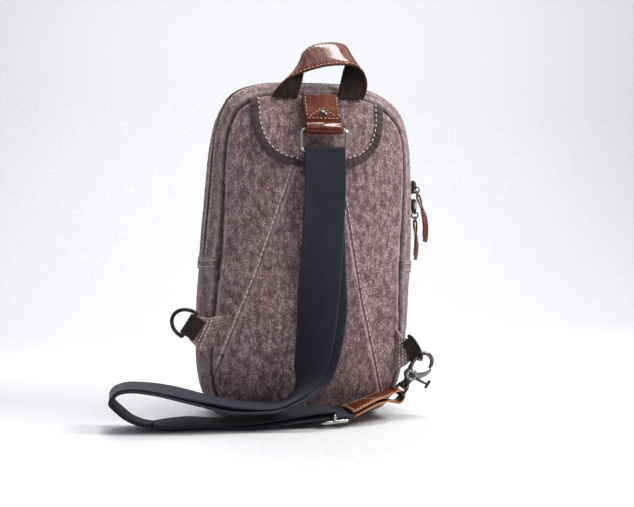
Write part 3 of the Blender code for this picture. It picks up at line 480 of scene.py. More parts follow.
def canvas_material(name, dark, middle, pale, speck=0.5):
    """Washed canvas: cloudy dye, pale flecks on the raised threads, faded seam edges, painted shade in the
    troughs of its creases, and painted shade along the seam creases.
    """
    s = Shader(name)
    clouds = s.noise(14.0, 4.0, 0.55)
    blotch = s.noise(85.0, 4.0, 0.70)
    fleck = s.noise(760.0, 3.0, 0.75)
    crease_height = s.noise(210.0, 6.0, 0.78, stretch=(1.0, 1.0, 0.55))
    slub = s.noise(300.0, 3.0, 0.7, stretch=(1.0, 1.0, 0.30))
    colour = s.mix(s.ramp(clouds, 0.30, 0.72), dark, middle)
    colour = s.mix(s.ramp(blotch, 0.45, 0.72, 0.0, 0.20), colour, pale)
    # painted shade: the colour darkens in the troughs of the medium crease bump
    colour = s.mix(s.ramp(crease_height, 0.36, 0.54, 0.80, 0.0), colour, s.mix(0.45, dark, (0.0, 0.0, 0.0, 1.0)))
    fade = s.attribute("fade")
    lift = s.math("MULTIPLY", s.ramp(fleck, 0.46, 0.60), s.ramp(crease_height, 0.44, 0.62, 0.15, speck))
    colour = s.mix(lift, colour, pale)
    worn = s.math("MULTIPLY", fade, s.ramp(slub, 0.38, 0.62, 0.15, 1.0))
    colour = s.mix(s.math("MULTIPLY", worn, 0.75), colour, pale)
    # painted shade: the shade attribute darkens the colour to near black along the seam creases and folds
    colour = s.mix(s.math("MULTIPLY", s.attribute("shade"), 0.94), colour, (0.012, 0.007, 0.008, 1.0))
    normal = s.bump(fleck, 0.00030, 0.7, woven(s, 0.00085, 0.00016))
    normal = s.bump(crease_height, 0.0010, 0.6, normal)
    s.set(Base_Color=colour, Roughness=0.92, Normal=normal, Sheen_Weight=0.12, Sheen_Roughness=0.6,
          Specular_IOR_Level=0.2)
    return s.mat


def plain_cloth(name, dark, pale, pitch):
    """Finely woven cloth in two close shades."""
    s = Shader(name)
    patch = s.noise(55.0, 4.0, 0.6)
    fine = s.noise(800.0, 2.0, 0.7)
    colour = s.mix(s.ramp(patch, 0.35, 0.68), dark, pale)
    colour = s.mix(s.ramp(fine, 0.55, 0.75, 0.0, 0.35), colour, pale)
    colour = s.mix(s.math("MULTIPLY", s.attribute("fade"), 0.35), colour, pale)
    s.set(Base_Color=colour, Roughness=0.88, Normal=woven(s, pitch, 0.00018), Sheen_Weight=0.1,
          Sheen_Roughness=0.5, Specular_IOR_Level=0.3)
    return s.mat


def webbing_material(name, dark, pale):
    """Ribbed strap webbing: fine cross picks over lengthwise ribs."""
    s = Shader(name)
    weave = s.attribute("weave", "Vector")
    picks = s.wave(0.0016, weave, "X")
    ribs = s.wave(0.0019, weave, "Y")
    patch = s.noise(60.0, 4.0, 0.6)
    fine = s.noise(900.0, 3.0, 0.7)
    colour = s.mix(s.ramp(patch, 0.30, 0.75, 0.15, 0.42), dark, pale)
    colour = s.mix(s.ramp(fine, 0.50, 0.70, 0.0, 0.7), colour, pale)
    colour = s.mix(s.math("MULTIPLY", picks, 0.25), colour, pale)
    colour = s.mix(s.math("MULTIPLY", s.attribute("fade"), 0.4), colour, pale)
    height = s.math("ADD", picks, s.math("MULTIPLY", ribs, 0.25))
    normal = s.bump(height, 0.00022, 0.85)
    normal = s.bump(fine, 0.00015, 0.5, normal)
    s.set(Base_Color=colour, Roughness=0.85, Normal=normal, Sheen_Weight=0.12, Sheen_Roughness=0.45,
          Specular_IOR_Level=0.22)
    return s.mat


def leather_material(name, dark, middle, light, rough=0.30, coat=0.55, edge_colour=None):
    """Waxed leather: clouded colour, fine grain, painted highlight streaks, and a darker or raw edge."""
    s = Shader(name)
    clouds = s.noise(34.0, 5.0, 0.6)
    pull = s.noise(120.0, 4.0, 0.7, stretch=(1.0, 1.0, 0.4))
    colour = s.mix(s.ramp(clouds, 0.34, 0.66), dark, middle)
    colour = s.mix(s.ramp(pull, 0.50, 0.80, 0.0, 0.6), colour, light)
    colour = s.mix(s.math("MULTIPLY", s.attribute("fade"), 0.85), colour, edge_colour or dark)
    cells = s.add("ShaderNodeTexVoronoi", feature="DISTANCE_TO_EDGE")
    s.feed(cells.inputs["Vector"], s.coords)
    cells.inputs["Scale"].default_value = 900.0
    pores = s.ramp(cells.outputs["Distance"], 0.0, 0.12)
    grain = s.noise(450.0, 4.0, 0.7)
    highlight_streak = s.noise(150.0, 3.0, 0.6, stretch=(1.0, 0.10, 0.45))
    # painted highlight: the colour lightens along the streaks where the gloss highlights run; the same
    # streaks also bump the surface
    colour = s.mix(s.ramp(highlight_streak, 0.50, 0.70, 0.0, 0.30), colour, light)
    normal = s.bump(pores, 0.00006, 0.35)
    normal = s.bump(grain, 0.00018, 0.35, normal)
    normal = s.bump(highlight_streak, 0.0020, 0.7, normal)
    roughness = s.ramp(s.noise(90.0, 4.0, 0.6), 0.30, 0.72, rough - 0.08, rough + 0.16)
    s.set(Base_Color=colour, Roughness=roughness, Normal=normal, Coat_Weight=coat, Coat_Roughness=0.09,
          Specular_IOR_Level=0.15)
    return s.mat


def metal_material(name, base, worn, rough):
    """Plated metal: slight clouding, and fine scratches in its roughness."""
    s = Shader(name)
    clouds = s.noise(160.0, 4.0, 0.6)
    scratch = s.noise(700.0, 3.0, 0.8, stretch=(1.0, 1.0, 0.15))
    colour = s.mix(s.ramp(clouds, 0.40, 0.70), base, worn)
    roughness = s.ramp(scratch, 0.30, 0.75, rough - 0.07, rough + 0.16)
    s.set(Base_Color=colour, Metallic=1.0, Roughness=roughness, Normal=s.bump(scratch, 0.00004, 0.4))
    return s.mat


def thread_material(name, colour, shade):
    s = Shader(name)
    twist = s.noise(1500.0, 2.0, 0.6)
    s.set(Base_Color=s.mix(s.ramp(twist, 0.35, 0.7), shade, colour), Roughness=0.75,
          Normal=s.bump(twist, 0.0001, 0.6), Sheen_Weight=0.2, Specular_IOR_Level=0.3)
    return s.mat


def plain_surface(name, colour, rough):
    """Board, foam or floor: near flat, with a little grain."""
    s = Shader(name)
    grain = s.noise(240.0, 3.0, 0.6)
    tint = s.mix(s.ramp(grain, 0.3, 0.7, 0.0, 0.12), colour, (0.0, 0.0, 0.0, 1.0))
    s.set(Base_Color=tint, Roughness=rough, Normal=s.bump(grain, 0.0001, 0.2))
    return s.mat


MATERIALS = {
    "canvas": canvas_material("washed_canvas", srgb(98, 73, 76), srgb(122, 96, 100), srgb(208, 184, 187),
                              speck=1.0),
    "canvas_side": canvas_material("washed_canvas_side", srgb(96, 74, 76), srgb(122, 98, 100),
                                   srgb(204, 181, 182), speck=1.0),
    "twill": plain_cloth("twill_binding", srgb(54, 41, 45), srgb(86, 70, 74), 0.0010),
    "lining": plain_cloth("lining_cloth", srgb(58, 54, 57), srgb(74, 70, 72), 0.0008),
    "foam": plain_surface("foam_sheet", srgb(120, 120, 120), 0.95),
    "board": plain_surface("stiff_board", srgb(84, 78, 72), 0.80),
    "leather": leather_material("brown_leather", srgb(58, 17, 7), srgb(94, 33, 14), srgb(138, 62, 34),
                                rough=0.34, coat=0.40, edge_colour=srgb(70, 38, 30)),
    "tan_leather": leather_material("tan_edge_leather", srgb(70, 24, 12), srgb(104, 42, 22),
                                    srgb(140, 72, 42), rough=0.36, coat=0.4, edge_colour=srgb(184, 122, 78)),
    "pull_leather": leather_material("pull_leather", srgb(70, 34, 28), srgb(104, 56, 46), srgb(140, 86, 72),
                                     rough=0.45, coat=0.2, edge_colour=srgb(120, 74, 58)),
    "dark_leather": leather_material("leather_underside", srgb(26, 19, 17), srgb(38, 28, 25),
                                     srgb(50, 37, 32), rough=0.5, coat=0.1),
    "webbing": webbing_material("navy_webbing", srgb(20, 20, 28), srgb(50, 50, 66)),
    "black_webbing": webbing_material("black_webbing", srgb(28, 22, 21), srgb(52, 43, 41)),
    "zip_tape": plain_cloth("zip_tape", srgb(38, 32, 34), srgb(58, 50, 52), 0.0007),
    "gunmetal": metal_material("gunmetal", srgb(72, 70, 69), srgb(112, 108, 105), 0.22),
    "ring_metal": metal_material("ring_metal", srgb(48, 43, 40), srgb(74, 68, 63), 0.32),
    "gate_metal": metal_material("gate_metal", srgb(128, 127, 126), srgb(160, 158, 156), 0.34),
    "zip_metal": metal_material("zip_metal", srgb(78, 74, 70), srgb(122, 116, 108), 0.33),
    "nickel": metal_material("nickel", srgb(176, 174, 170), srgb(204, 202, 198), 0.24),
    "thread": thread_material("pale_thread", srgb(226, 216, 206), srgb(188, 176, 166)),
    "warm_thread": thread_material("warm_thread", srgb(214, 190, 166), srgb(176, 150, 126)),
    "dark_thread": thread_material("dark_thread", srgb(70, 60, 60), srgb(50, 42, 42)),
}


# ---------------------------------------------------------------- the body's surfaces
def outline_table():
    points = spline(CREST_POINTS, 24, closed=True)
    dx, dz = points[:, 0] - BODY_CENTRE[0], points[:, 1] - BODY_CENTRE[1]
    angle, radius = np.arctan2(dz, dx), np.hypot(dx, dz)
    order = np.argsort(angle)
    return angle[order], radius[order]


OUTLINE_ANGLES, OUTLINE_RADII = outline_table()


def crest_radius(angle):
    wrapped = (np.asarray(angle) + math.pi) % (2 * math.pi) - math.pi
    return np.interp(wrapped, OUTLINE_ANGLES, OUTLINE_RADII, period=2 * math.pi)


def full_inset(angle):
    under = np.maximum(0.0, -np.sin(angle)) ** 6
    return SEAM_INSET + (BASE_INSET - SEAM_INSET) * under


def inset(angle, y):
    back = np.clip((CREST_BACK - y) / (CREST_BACK + SEAM_Y), 0, 1)
    front = np.clip((y - CREST_FRONT) / (SEAM_Y - CREST_FRONT), 0, 1)
    return full_inset(angle) * np.maximum(back, front) ** 1.6


def gusset_points(angle, y, sink=0.0):
    """Points of the gusset's outer face; sink moves them inwards."""
    angle, y = np.broadcast_arrays(np.asarray(angle, float), np.asarray(y, float))
    radius = crest_radius(angle) - inset(angle, y) - sink
    z = BODY_CENTRE[1] + radius * np.sin(angle)
    return np.stack([BODY_CENTRE[0] + radius * np.cos(angle), y, np.maximum(z, 0.0002)], axis=-1)


def seam_radius(angle):
    return crest_radius(angle) - full_inset(angle)


def share_at(x, z):
    dx, dz = x - BODY_CENTRE[0], z - BODY_CENTRE[1]
    return np.clip(np.hypot(dx, dz) / seam_radius(np.arctan2(dz, dx)), 0, 1)


def panel_y(x, z, side, crown):
    return side * (SEAM_Y + crown * (1 - share_at(x, z) ** CROWN_POWER))


def angle_at_height(height, side):
    """Angle of the widest outline at a height, on the left (-1) or right (1) side."""
    low, high = (-math.pi / 2, math.pi / 2) if side > 0 else (3 * math.pi / 2, math.pi / 2)
    for _ in range(40):
        middle = (low + high) / 2
        if BODY_CENTRE[1] + crest_radius(middle) * math.sin(middle) < height:
            low = middle
        else:
            high = middle
    return (low + high) / 2


LEFT_HEM = angle_at_height(LEFT_HEM_Z, -1)
RIGHT_HEM = angle_at_height(RIGHT_HEM_Z, 1)


# ---------------------------------------------------------------- camera
def place_camera():
    """The camera stands a little left of the bag, about level with its middle."""
    data = bpy.data.cameras.new("camera")
    data.lens = 51.1
    data.sensor_width = 36.0
    camera = bpy.data.objects.new("camera", data)
    camera.location = (-0.1588, -0.8616, 0.1670)
    camera.rotation_euler = Vector((0.199, 0.980, -0.015)).to_track_quat("-Z", "Y").to_euler()
    bpy.context.scene.collection.objects.link(camera)
    bpy.context.scene.camera = camera


# ---------------------------------------------------------------- canvas body
LEFT_SEAM = [(-0.004, 0.245), (-0.017, 0.232), (-0.048, 0.144), (-0.0836, 0.0547), (-0.0925, 0.030)]
RIGHT_SEAM = [(0.018, 0.245), (0.0294, 0.207), (0.0388, 0.155), (0.0482, 0.104), (0.0674, 0.0288),
              (0.073, 0.006)]
CREASE = [(-0.086, 0.137), (-0.064, 0.1066)]
STITCH_BESIDE = 0.0016            # the top stitching lies this far outside a seam's fold
PANEL_NET = (150, 216)            # columns and rows of the net over a panel


def seam_effect(x, z, path, seed):
    """How far a pressed seam pushes the cloth out (or in), with the puckers that its stitching draws."""
    distance, along = segment_distance(x, z, path)
    wander = noise_at(np.stack([along, along * 0, along * 0 + seed], axis=-1), 0.020)
    pucker = np.sin(along / 0.0072 * 2 * math.pi + 4 * wander) * bump(distance, 0.0065)
    fold = -0.0009 * bump(distance, 0.0011) + 0.00045 * bump(distance - 0.0034, 0.0022)
    return fold + 0.00030 * pucker, distance


def panel_rise(x, z, side):
    """Outward displacement of a panel's cloth, how worn it is there, and how much painted shade its seam
    creases get.
    """
    spot = np.stack([x, x * 0 + side, z * 0.62], axis=-1)
    rise = 0.00125 * noise_at(spot, 0.046) + 0.00055 * noise_at(spot, 0.018, 3.1)
    rise = rise + 0.00018 * noise_at(spot, 0.006, 7.7)
    left, left_gap = seam_effect(x, z, LEFT_SEAM, 1.0 + side)
    right, right_gap = seam_effect(x, z, RIGHT_SEAM, 5.0 + side)
    rise = rise + left + right
    angle = np.arctan2(z - BODY_CENTRE[1], x - BODY_CENTRE[0])
    border = (1 - share_at(x, z)) * seam_radius(angle)
    ripple = np.sin(angle * 21 + 5 * noise_at(spot, 0.05, 11.0)) * bump(border, 0.010)
    rise = rise + 0.0006 * bump(border - 0.0055, 0.0035) + 0.00045 * ripple
    if side < 0:
        fold, _ = segment_distance(x, z, CREASE)
        rise = rise - 0.0022 * bump(fold, 0.0022) + 0.0012 * bump(fold - 0.0060, 0.0040)
    rise = np.clip(rise, -0.0011, 0.0024) - 0.0024 * bump(border, 0.0019)
    near = np.minimum(left_gap, right_gap)
    worn = np.maximum(0.9 * bump(near - 0.0016, 0.0013), 0.8 * bump(border - 0.0030, 0.0016))
    # painted shade: the colour is darkened along the V seams' folds and in the crease at the panel's border
    shade = np.maximum(0.65 * bump(near, 0.0007), bump(border, 0.0023))
    return rise, np.clip(worn, 0, 1), shade


def panel_points(x, z, side):
    crown = BACK_CROWN if side < 0 else FRONT_CROWN
    rise, worn, shade = panel_rise(x, z, side)
    return np.stack([x, panel_y(x, z, side, crown) + side * rise, z], axis=-1), worn, shade


def build_panel(name, side):
    cols, rows = PANEL_NET
    ease = [np.linspace(-1, 1, n) * (1.22 - 0.22 * np.linspace(-1, 1, n) ** 2) for n in (cols, rows)]
    u, v = np.meshgrid(*ease)
    share = np.maximum(np.abs(u), np.abs(v))
    angle = np.arctan2(v * 0.144, u * 0.090)
    radius = seam_radius(angle) * share
    x = BODY_CENTRE[0] + radius * np.cos(angle)
    z = BODY_CENTRE[1] + radius * np.sin(angle)
    grid, worn, shade = panel_points(x, z, side)
    weave = np.stack([x, z, x * 0], axis=-1).reshape(-1, 3)
    sheet_mesh(name + "_cloth", grid, "canvas", CANVAS, outward=side, replaces=(name,),
               attrs={"weave": weave, "fade": worn.ravel(), "shade": shade.ravel()})


def panel_line(path, side, step=0.0006):
    """Points on a panel above a line in x and z, and the cloth's normals there."""
    line = respaced(np.hstack([path, np.zeros((len(path), 1))]), step)
    x, z = line[:, 0], line[:, 1]
    here = panel_points(x, z, side)[0]
    nudge = 0.0012
    dx = panel_points(x + nudge, z, side)[0] - panel_points(x - nudge, z, side)[0]
    dz = panel_points(x, z + nudge, side)[0] - panel_points(x, z - nudge, side)[0]
    return here, unit(np.cross(dx, dz)) * (-side if side > 0 else 1)


def beside(path, distance):
    """A line in x and z moved sideways, to the left of its direction."""
    path = spline(np.asarray(path, float), 12)
    way = unit(np.gradient(path, axis=0))
    return path + np.stack([-way[:, 1], way[:, 0]], axis=1) * distance


def build_panel_seams():
    for side, word in ((-1, "back"), (1, "front")):
        for label, path, away in (("left", LEFT_SEAM, -STITCH_BESIDE), ("right", RIGHT_SEAM, STITCH_BESIDE)):
            line = beside(path, away)
            line = line[share_at(line[:, 0], line[:, 1]) < 0.975]
            stitches(f"{word}_{label}_seam_stitches", *panel_line(line, side), length=0.0036, gap=0.0016,
                     radius=0.00052)


# The zip edges of the gusset are folded and top stitched; the hems lie over the ends of both zips.
LIP = 0.0046                      # the folded canvas stops this far from a zip's centre line
FOLD_WIDTH = 0.0085
HEM_ROWS = (0.0026, 0.0088)       # the two rows of stitches below a hem's edge


def arc_lengths(angles):
    return run_length(gusset_points(angles, 0.0))


def gusset_rise(angle, y, low, high, seam_side, fold_sides, hem=None):
    """Outward displacement of a gusset strip between two depths, how worn it is, and how much painted shade
    its seam crease gets.
    """
    base = gusset_points(angle, y)
    rise = 0.0008 * noise_at(base, 0.040, 2.0) + 0.00035 * noise_at(base, 0.013, 4.0)
    arc = angle * 0.135
    worn, shade = np.zeros(np.shape(y)), np.zeros(np.shape(y))
    for edge, sign in ((low, 1), (high, -1)):
        gap = (y - edge) * sign
        if edge in fold_sides:
            lip = np.clip((FOLD_WIDTH - gap) / 0.0012, 0, 1)
            round_off = 0.0011 * np.clip(1 - gap / 0.0011, 0, 1) ** 2
            rise = rise + 0.0008 * lip * lip * (3 - 2 * lip) - round_off - 0.0004 * bump(gap - 0.0024, 0.0008)
            pucker = np.sin(arc / 0.0060 * 2 * math.pi + 3 * noise_at(base, 0.03, 9.0))
            rise = rise + 0.00022 * (pucker * bump(gap - 0.003, 0.0035))
            worn = np.maximum(worn, 0.9 * bump(gap - 0.0006, 0.0009))
        elif edge in seam_side:
            ripple = np.sin(arc / 0.0085 * 2 * math.pi + 4 * noise_at(base, 0.04, 6.0)) * bump(gap, 0.007)
            rise = rise - 0.0019 * bump(gap, 0.0018) + 0.0010 * bump(gap - 0.0048, 0.0024) + 0.00035 * ripple
            worn = np.maximum(worn, 0.8 * bump(gap - 0.0030, 0.0014))
            # painted shade: the colour is darkened in the crease of the seam to a panel
            shade = np.maximum(shade, bump(gap, 0.0023))
    if hem is not None:
        lift = np.clip((0.0118 - hem) / 0.0010, 0, 1)
        rise = rise + 0.0013 * lift - 0.0009 * np.clip(1 - hem / 0.0010, 0, 1) ** 2
        for row in HEM_ROWS:
            rise = rise - 0.0004 * bump(hem - row, 0.0008)
        pucker = 0.0003 * np.sin(y / 0.0065 * 2 * math.pi + 3 * noise_at(base, 0.03, 8.0))
        rise = rise + pucker * bump(hem, 0.016)
        worn = np.maximum(worn, 0.9 * bump(hem - 0.0005, 0.0009))
    return rise, np.clip(worn, 0, 1), shade


class Strip:
    """A strip of the gusset between two angles and two depths."""

    def __init__(self, start, end, low, high, seam_side=(), fold_sides=(), hemmed=False):
        self.start, self.end, self.low, self.high = start, end, low, high
        self.seam_side, self.fold_sides, self.hemmed = seam_side, fold_sides, hemmed
        angles = np.linspace(start, end, 1600)
        self.table = angles, arc_lengths(angles)

    def points(self, angle, y):
        hem = None
        if self.hemmed:
            run = np.interp(angle, *self.table)
            hem = np.minimum(run, self.table[1][-1] - run)
        rise, worn, shade = gusset_rise(angle, y, self.low, self.high, self.seam_side, self.fold_sides, hem)
        return gusset_points(angle, y, -rise), worn, shade

    def build(self, name, rows, cols, node):
        angles = np.interp(np.linspace(0, self.table[1][-1], rows), self.table[1], self.table[0])
        if self.hemmed:
            near = np.linspace(0, 0.014, 28)
            runs = np.concatenate([near, np.linspace(0.0145, self.table[1][-1] - 0.0145, rows),
                                   self.table[1][-1] - near[::-1]])
            angles = np.interp(runs, self.table[1], self.table[0])
        ease = np.linspace(-1, 1, cols)
        depth = (self.low + self.high) / 2 + (self.high - self.low) / 2 * ease * (1.30 - 0.30 * ease ** 2)
        angle, y = np.meshgrid(angles, depth, indexing="ij")
        grid, worn, shade = self.points(angle, y)
        run = np.interp(angle, *self.table)
        weave = np.stack([run, y, y * 0], axis=-1).reshape(-1, 3)
        sheet_mesh(name, grid, "canvas_side", CANVAS, outward=-1,
                   attrs={"weave": weave, "fade": worn.ravel(), "shade": shade.ravel()}, replaces=(node,))

    def line(self, angle, y):
        """Points and normals along a line of angles and depths."""
        angle, y = np.broadcast_arrays(np.asarray(angle, float), np.asarray(y, float))
        here = self.points(angle, y)[0]
        turn, nudge = 0.006, 0.0008
        da = self.points(angle + turn, y)[0] - self.points(angle - turn, y)[0]
        dy = self.points(angle, y + nudge)[0] - self.points(angle, y - nudge)[0]
        normal = unit(np.cross(dy, da))
        out = here - np.array([BODY_CENTRE[0], 0, BODY_CENTRE[1]])
        out[..., 1] = 0
        return here, normal * np.sign(np.sum(normal * out, axis=-1, keepdims=True))


def build_gusset():
    top = (RIGHT_HEM - 0.030, LEFT_HEM + 0.030)
    back = Strip(*top, -SEAM_Y, ZIP_BACK_Y - LIP, seam_side=(-SEAM_Y,), fold_sides=(ZIP_BACK_Y - LIP,))
    back.build("gusset_back_cloth", 420, 22, "gusset_back_strip")
    middle = Strip(*top, ZIP_BACK_Y + LIP, ZIP_FRONT_Y - LIP,
                   fold_sides=(ZIP_BACK_Y + LIP, ZIP_FRONT_Y - LIP))
    middle.build("gusset_middle_cloth", 420, 38, "gusset_middle_strip")
    front = Strip(*top, ZIP_FRONT_Y + LIP, SEAM_Y, seam_side=(SEAM_Y,), fold_sides=(ZIP_FRONT_Y + LIP,))
    front.build("gusset_front_cloth", 420, 24, "gusset_front_strip")
    lower = Strip(LEFT_HEM, RIGHT_HEM + 2 * math.pi, -SEAM_Y, SEAM_Y, seam_side=(-SEAM_Y, SEAM_Y),
                  hemmed=True)
    lower.build("lower_gusset_cloth", 330, 66, "lower_gusset")

    over = np.linspace(RIGHT_HEM + 0.012, LEFT_HEM - 0.012, 1500)
    for name, strip, y in (("back_zip_outer", back, ZIP_BACK_Y - LIP - 0.0024),
                           ("back_zip_inner", middle, ZIP_BACK_Y + LIP + 0.0024),
                           ("front_zip_inner", middle, ZIP_FRONT_Y - LIP - 0.0024),
                           ("front_zip_outer", front, ZIP_FRONT_Y + LIP + 0.0024)):
        stitches(f"{name}_stitches", *strip.line(over, y))
    depths = np.linspace(-SEAM_Y + 0.0022, SEAM_Y - 0.0022, 130)
    angles, run = lower.table
    for k, row in enumerate(HEM_ROWS):
        for side, at in (("left", row), ("right", run[-1] - row)):
            angle = np.interp(at, run, angles)
            stitches(f"{side}_hem_stitches_{k + 1}", *lower.line(angle + depths * 0, depths))


def build_zips():
    """Tapes and separate interlocking teeth of both zips."""
    angles = np.linspace(RIGHT_HEM - 0.030, LEFT_HEM + 0.030, 1600)
    run = arc_lengths(angles)
    for label, middle in (("main", ZIP_BACK_Y), ("front", ZIP_FRONT_Y)):
        for side, sign in (("back", -1), ("front", 1)):
            depths = middle + sign * np.linspace(0.0016, LIP + 0.0012, 8)
            rows = np.interp(np.linspace(0, run[-1], 380), run, angles)
            angle, y = np.meshgrid(rows, depths, indexing="ij")
            sink = 0.0012 - 0.0006 * bump(np.abs(y - middle) - 0.0020, 0.0006)
            grid = gusset_points(angle, y, sink)
            weave = np.stack([np.interp(angle, angles, run), y, y * 0], axis=-1).reshape(-1, 3)
            sheet_mesh(f"{label}_zip_{side}_cloth", grid, "zip_tape", 0.0008, outward=-sign,
                       attrs={"weave": weave}, replaces=(f"{label}_zip_{side}_tape",))
        pitch = 0.0021
        count = int(run[-1] / pitch)
        verts, faces = [], []
        for k in range(count):
            for sign in (-1, 1):
                at = (k + (0.25 if sign > 0 else 0.75)) * pitch
                angle = np.interp([at - 0.00062, at + 0.00062], run, angles)
                inner, outer = middle - sign * 0.0007, middle + sign * 0.0026
                deep, high = 0.0022, -0.0004
                spots = [(angle[0], inner, deep), (angle[1], inner, deep), (angle[1], outer, deep),
                         (angle[0], outer, deep),
                         (angle[0], inner, high + 0.0006), (angle[1], inner, high + 0.0006),
                         (angle[1], middle + sign * 0.0004, high), (angle[0], middle + sign * 0.0004, high),
                         (angle[0], middle + sign * 0.0021, high), (angle[1], middle + sign * 0.0021, high),
                         (angle[1], outer, high + 0.0008), (angle[0], outer, high + 0.0008)]
                base = len(verts)
                verts += [gusset_points(a, y, sink) for a, y, sink in spots]
                block = [(0, 3, 2, 1), (4, 5, 6, 7), (7, 6, 9, 8), (8, 9, 10, 11), (0, 1, 5, 4),
                         (2, 3, 11, 10), (1, 2, 10, 9, 6, 5), (3, 0, 4, 7, 8, 11)]
                faces += [tuple(base + i for i in (f if sign < 0 else f[::-1])) for f in block]
        make(f"{label}_zip_tooth_rows", verts, faces, "zip_metal", smooth=False,
             replaces=(f"{label}_zip_teeth",))


# ---------------------------------------------------------------- yoke
YOKE_MIDDLE = 0.008
YOKE_HALF = 0.058
YOKE_TOP_Z = 0.299
YOKE_DEPTH = 0.062
YOKE_POWER = 0.62
BINDING = 0.0085


def yoke_edge(turn, inwards=0.0):
    """Middle line of the binding, from its left end to its right end as turn runs from -1 to 1."""
    angle = turn * math.pi / 2
    half, depth = YOKE_HALF - inwards, YOKE_DEPTH - inwards
    x = YOKE_MIDDLE + half * np.sign(turn) * np.abs(np.sin(angle)) ** YOKE_POWER
    return np.stack([x, YOKE_TOP_Z - depth * np.abs(np.cos(angle)) ** YOKE_POWER], axis=-1)


def seam_height(x):
    """Height of the top seam at x."""
    z = np.full(np.shape(x), 0.30)
    for _ in range(30):
        over = np.hypot(x - BODY_CENTRE[0], z - BODY_CENTRE[1]) - seam_radius(np.arctan2(z - BODY_CENTRE[1],
                                                                                          x - BODY_CENTRE[0]))
        z = z - over * 0.8
    return z


def yoke_line(inwards=0.0, within=0.996):
    """The part of a line along the binding that lies below the top seam."""
    line = yoke_edge(np.sin(np.linspace(-math.pi / 2, math.pi / 2, 400)), inwards)
    line = line[share_at(line[:, 0], line[:, 1]) < within]
    return respaced(np.hstack([line, np.zeros((len(line), 1))]), 0.0009)[:, :2]


def build_yoke():
    line = yoke_line()
    line = line[np.linspace(0, len(line) - 1, 130).astype(int)]
    top = seam_height(line[:, 0]) - 0.0012
    share = np.linspace(0, 1, 50)
    z = line[:, 1][:, None] + np.maximum(top - line[:, 1], 0.0003)[:, None] * share[None, :]
    x = np.broadcast_to(line[:, 0][:, None], z.shape)
    grid = panel_points(x, z, -1)[0]
    spot = np.stack([x, z * 0, z], axis=-1)
    grid = grid + Y * (-0.0012 - 0.0005 * noise_at(spot, 0.022, 5.0))[..., None]
    weave = np.stack([x, z, z * 0], axis=-1).reshape(-1, 3)
    sheet_mesh("yoke_cloth", grid, "canvas", 0.0010, outward=-1, attrs={"weave": weave},
               replaces=("back_yoke",))

    centre, normal = panel_line(yoke_line(), -1)
    count = len(centre)
    ripple = 0.00018 * np.sin(np.arange(count) * 0.0006 / 0.0052 * 2 * math.pi)
    rows = np.hstack([centre + normal * (0.0022 + ripple)[:, None], normal, np.full((count, 1), BINDING)])
    band("yoke_binding_tape", rows, band_section(0.0015, corner=0.85, crown=0.0006, across=16), "twill",
         replaces=("yoke_binding",))
    spots, normals = panel_line(yoke_line(BINDING / 2 - 0.0012, 0.988), -1)
    stitches("yoke_binding_stitches", spots + normals * 0.0031, normals, length=0.0036, gap=0.0014,
             radius=0.00056)


# ---------------------------------------------------------------- carry handle and ring tab
LEATHER = 0.0018
HANDLE_EDGES = [
    ((-0.0361, -0.0452, 0.2979), (-0.0114, -0.0452, 0.2979)),
    ((-0.0315, -0.0458, 0.3045), (-0.0070, -0.0438, 0.3110)),
    ((-0.0260, -0.0468, 0.3095), (-0.0044, -0.0410, 0.3235)),
    ((-0.0185, -0.0480, 0.3145), (-0.0040, -0.0375, 0.3345)),
    ((-0.0080, -0.0490, 0.3192), (-0.0022, -0.0340, 0.3432)),
    ((0.0040, -0.0490, 0.3234), (0.0060, -0.0320, 0.3490)),
    ((0.0160, -0.0485, 0.3266), (0.0172, -0.0310, 0.3520)),
    ((0.0300, -0.0480, 0.3282), (0.0285, -0.0310, 0.3524)),
    ((0.0420, -0.0475, 0.3276), (0.0370, -0.0305, 0.3494)),
    ((0.0500, -0.0470, 0.3225), (0.0378, -0.0325, 0.3390)),
    ((0.0544, -0.0463, 0.3135), (0.0336, -0.0360, 0.3255)),
    ((0.0538, -0.0456, 0.3045), (0.0290, -0.0415, 0.3100)),
    ((0.0515, -0.0452, 0.2979), (0.0257, -0.0452, 0.2979))]
HANDLE_STITCH_IN = 0.0021


def handle_rows():
    return respaced(spline([near + far for near, far in HANDLE_EDGES], 20), 0.0007)


def handle_strip(name, mat, low, high, narrower, node):
    """One layer of the handle, with rounded edges, between two heights above the strip."""
    rows = handle_rows()
    near, far = rows[:, :3], rows[:, 3:]
    across = unit(far - near)
    near, far = near + across * narrower, far - across * narrower
    share = np.linspace(0, 1, 33)
    spots = near[:, None] + (far - near)[:, None] * share[None, :, None]
    along = np.gradient(spots, axis=0)
    normal = unit(np.cross(along, across[:, None]))
    width = np.linalg.norm(far - near, axis=1)
    edge = np.minimum(share, 1 - share)[None, :] * width[:, None]
    soft = np.clip(1 - edge / 0.0011, 0, 1) ** 2
    groove = 0.00028 * bump(edge - HANDLE_STITCH_IN, 0.0006)
    puff = 0.00035 * np.sin(np.clip(edge / 0.008, 0, 1) * math.pi / 2)
    top = spots + normal * (high - 0.0006 * soft - groove + puff)[..., None]
    under = spots + normal * (low + 0.0004 * soft)[..., None]
    ring = np.concatenate([top, under[:, ::-1]], axis=1)
    fade = np.concatenate([np.clip(1 - edge / 0.0016, 0, 1)] * 2, axis=1).ravel()
    make(name, ring.reshape(-1, 3), capped_faces(*ring.shape[:2]), mat, body="handle", replaces=(node,),
         attrs={"fade": fade})


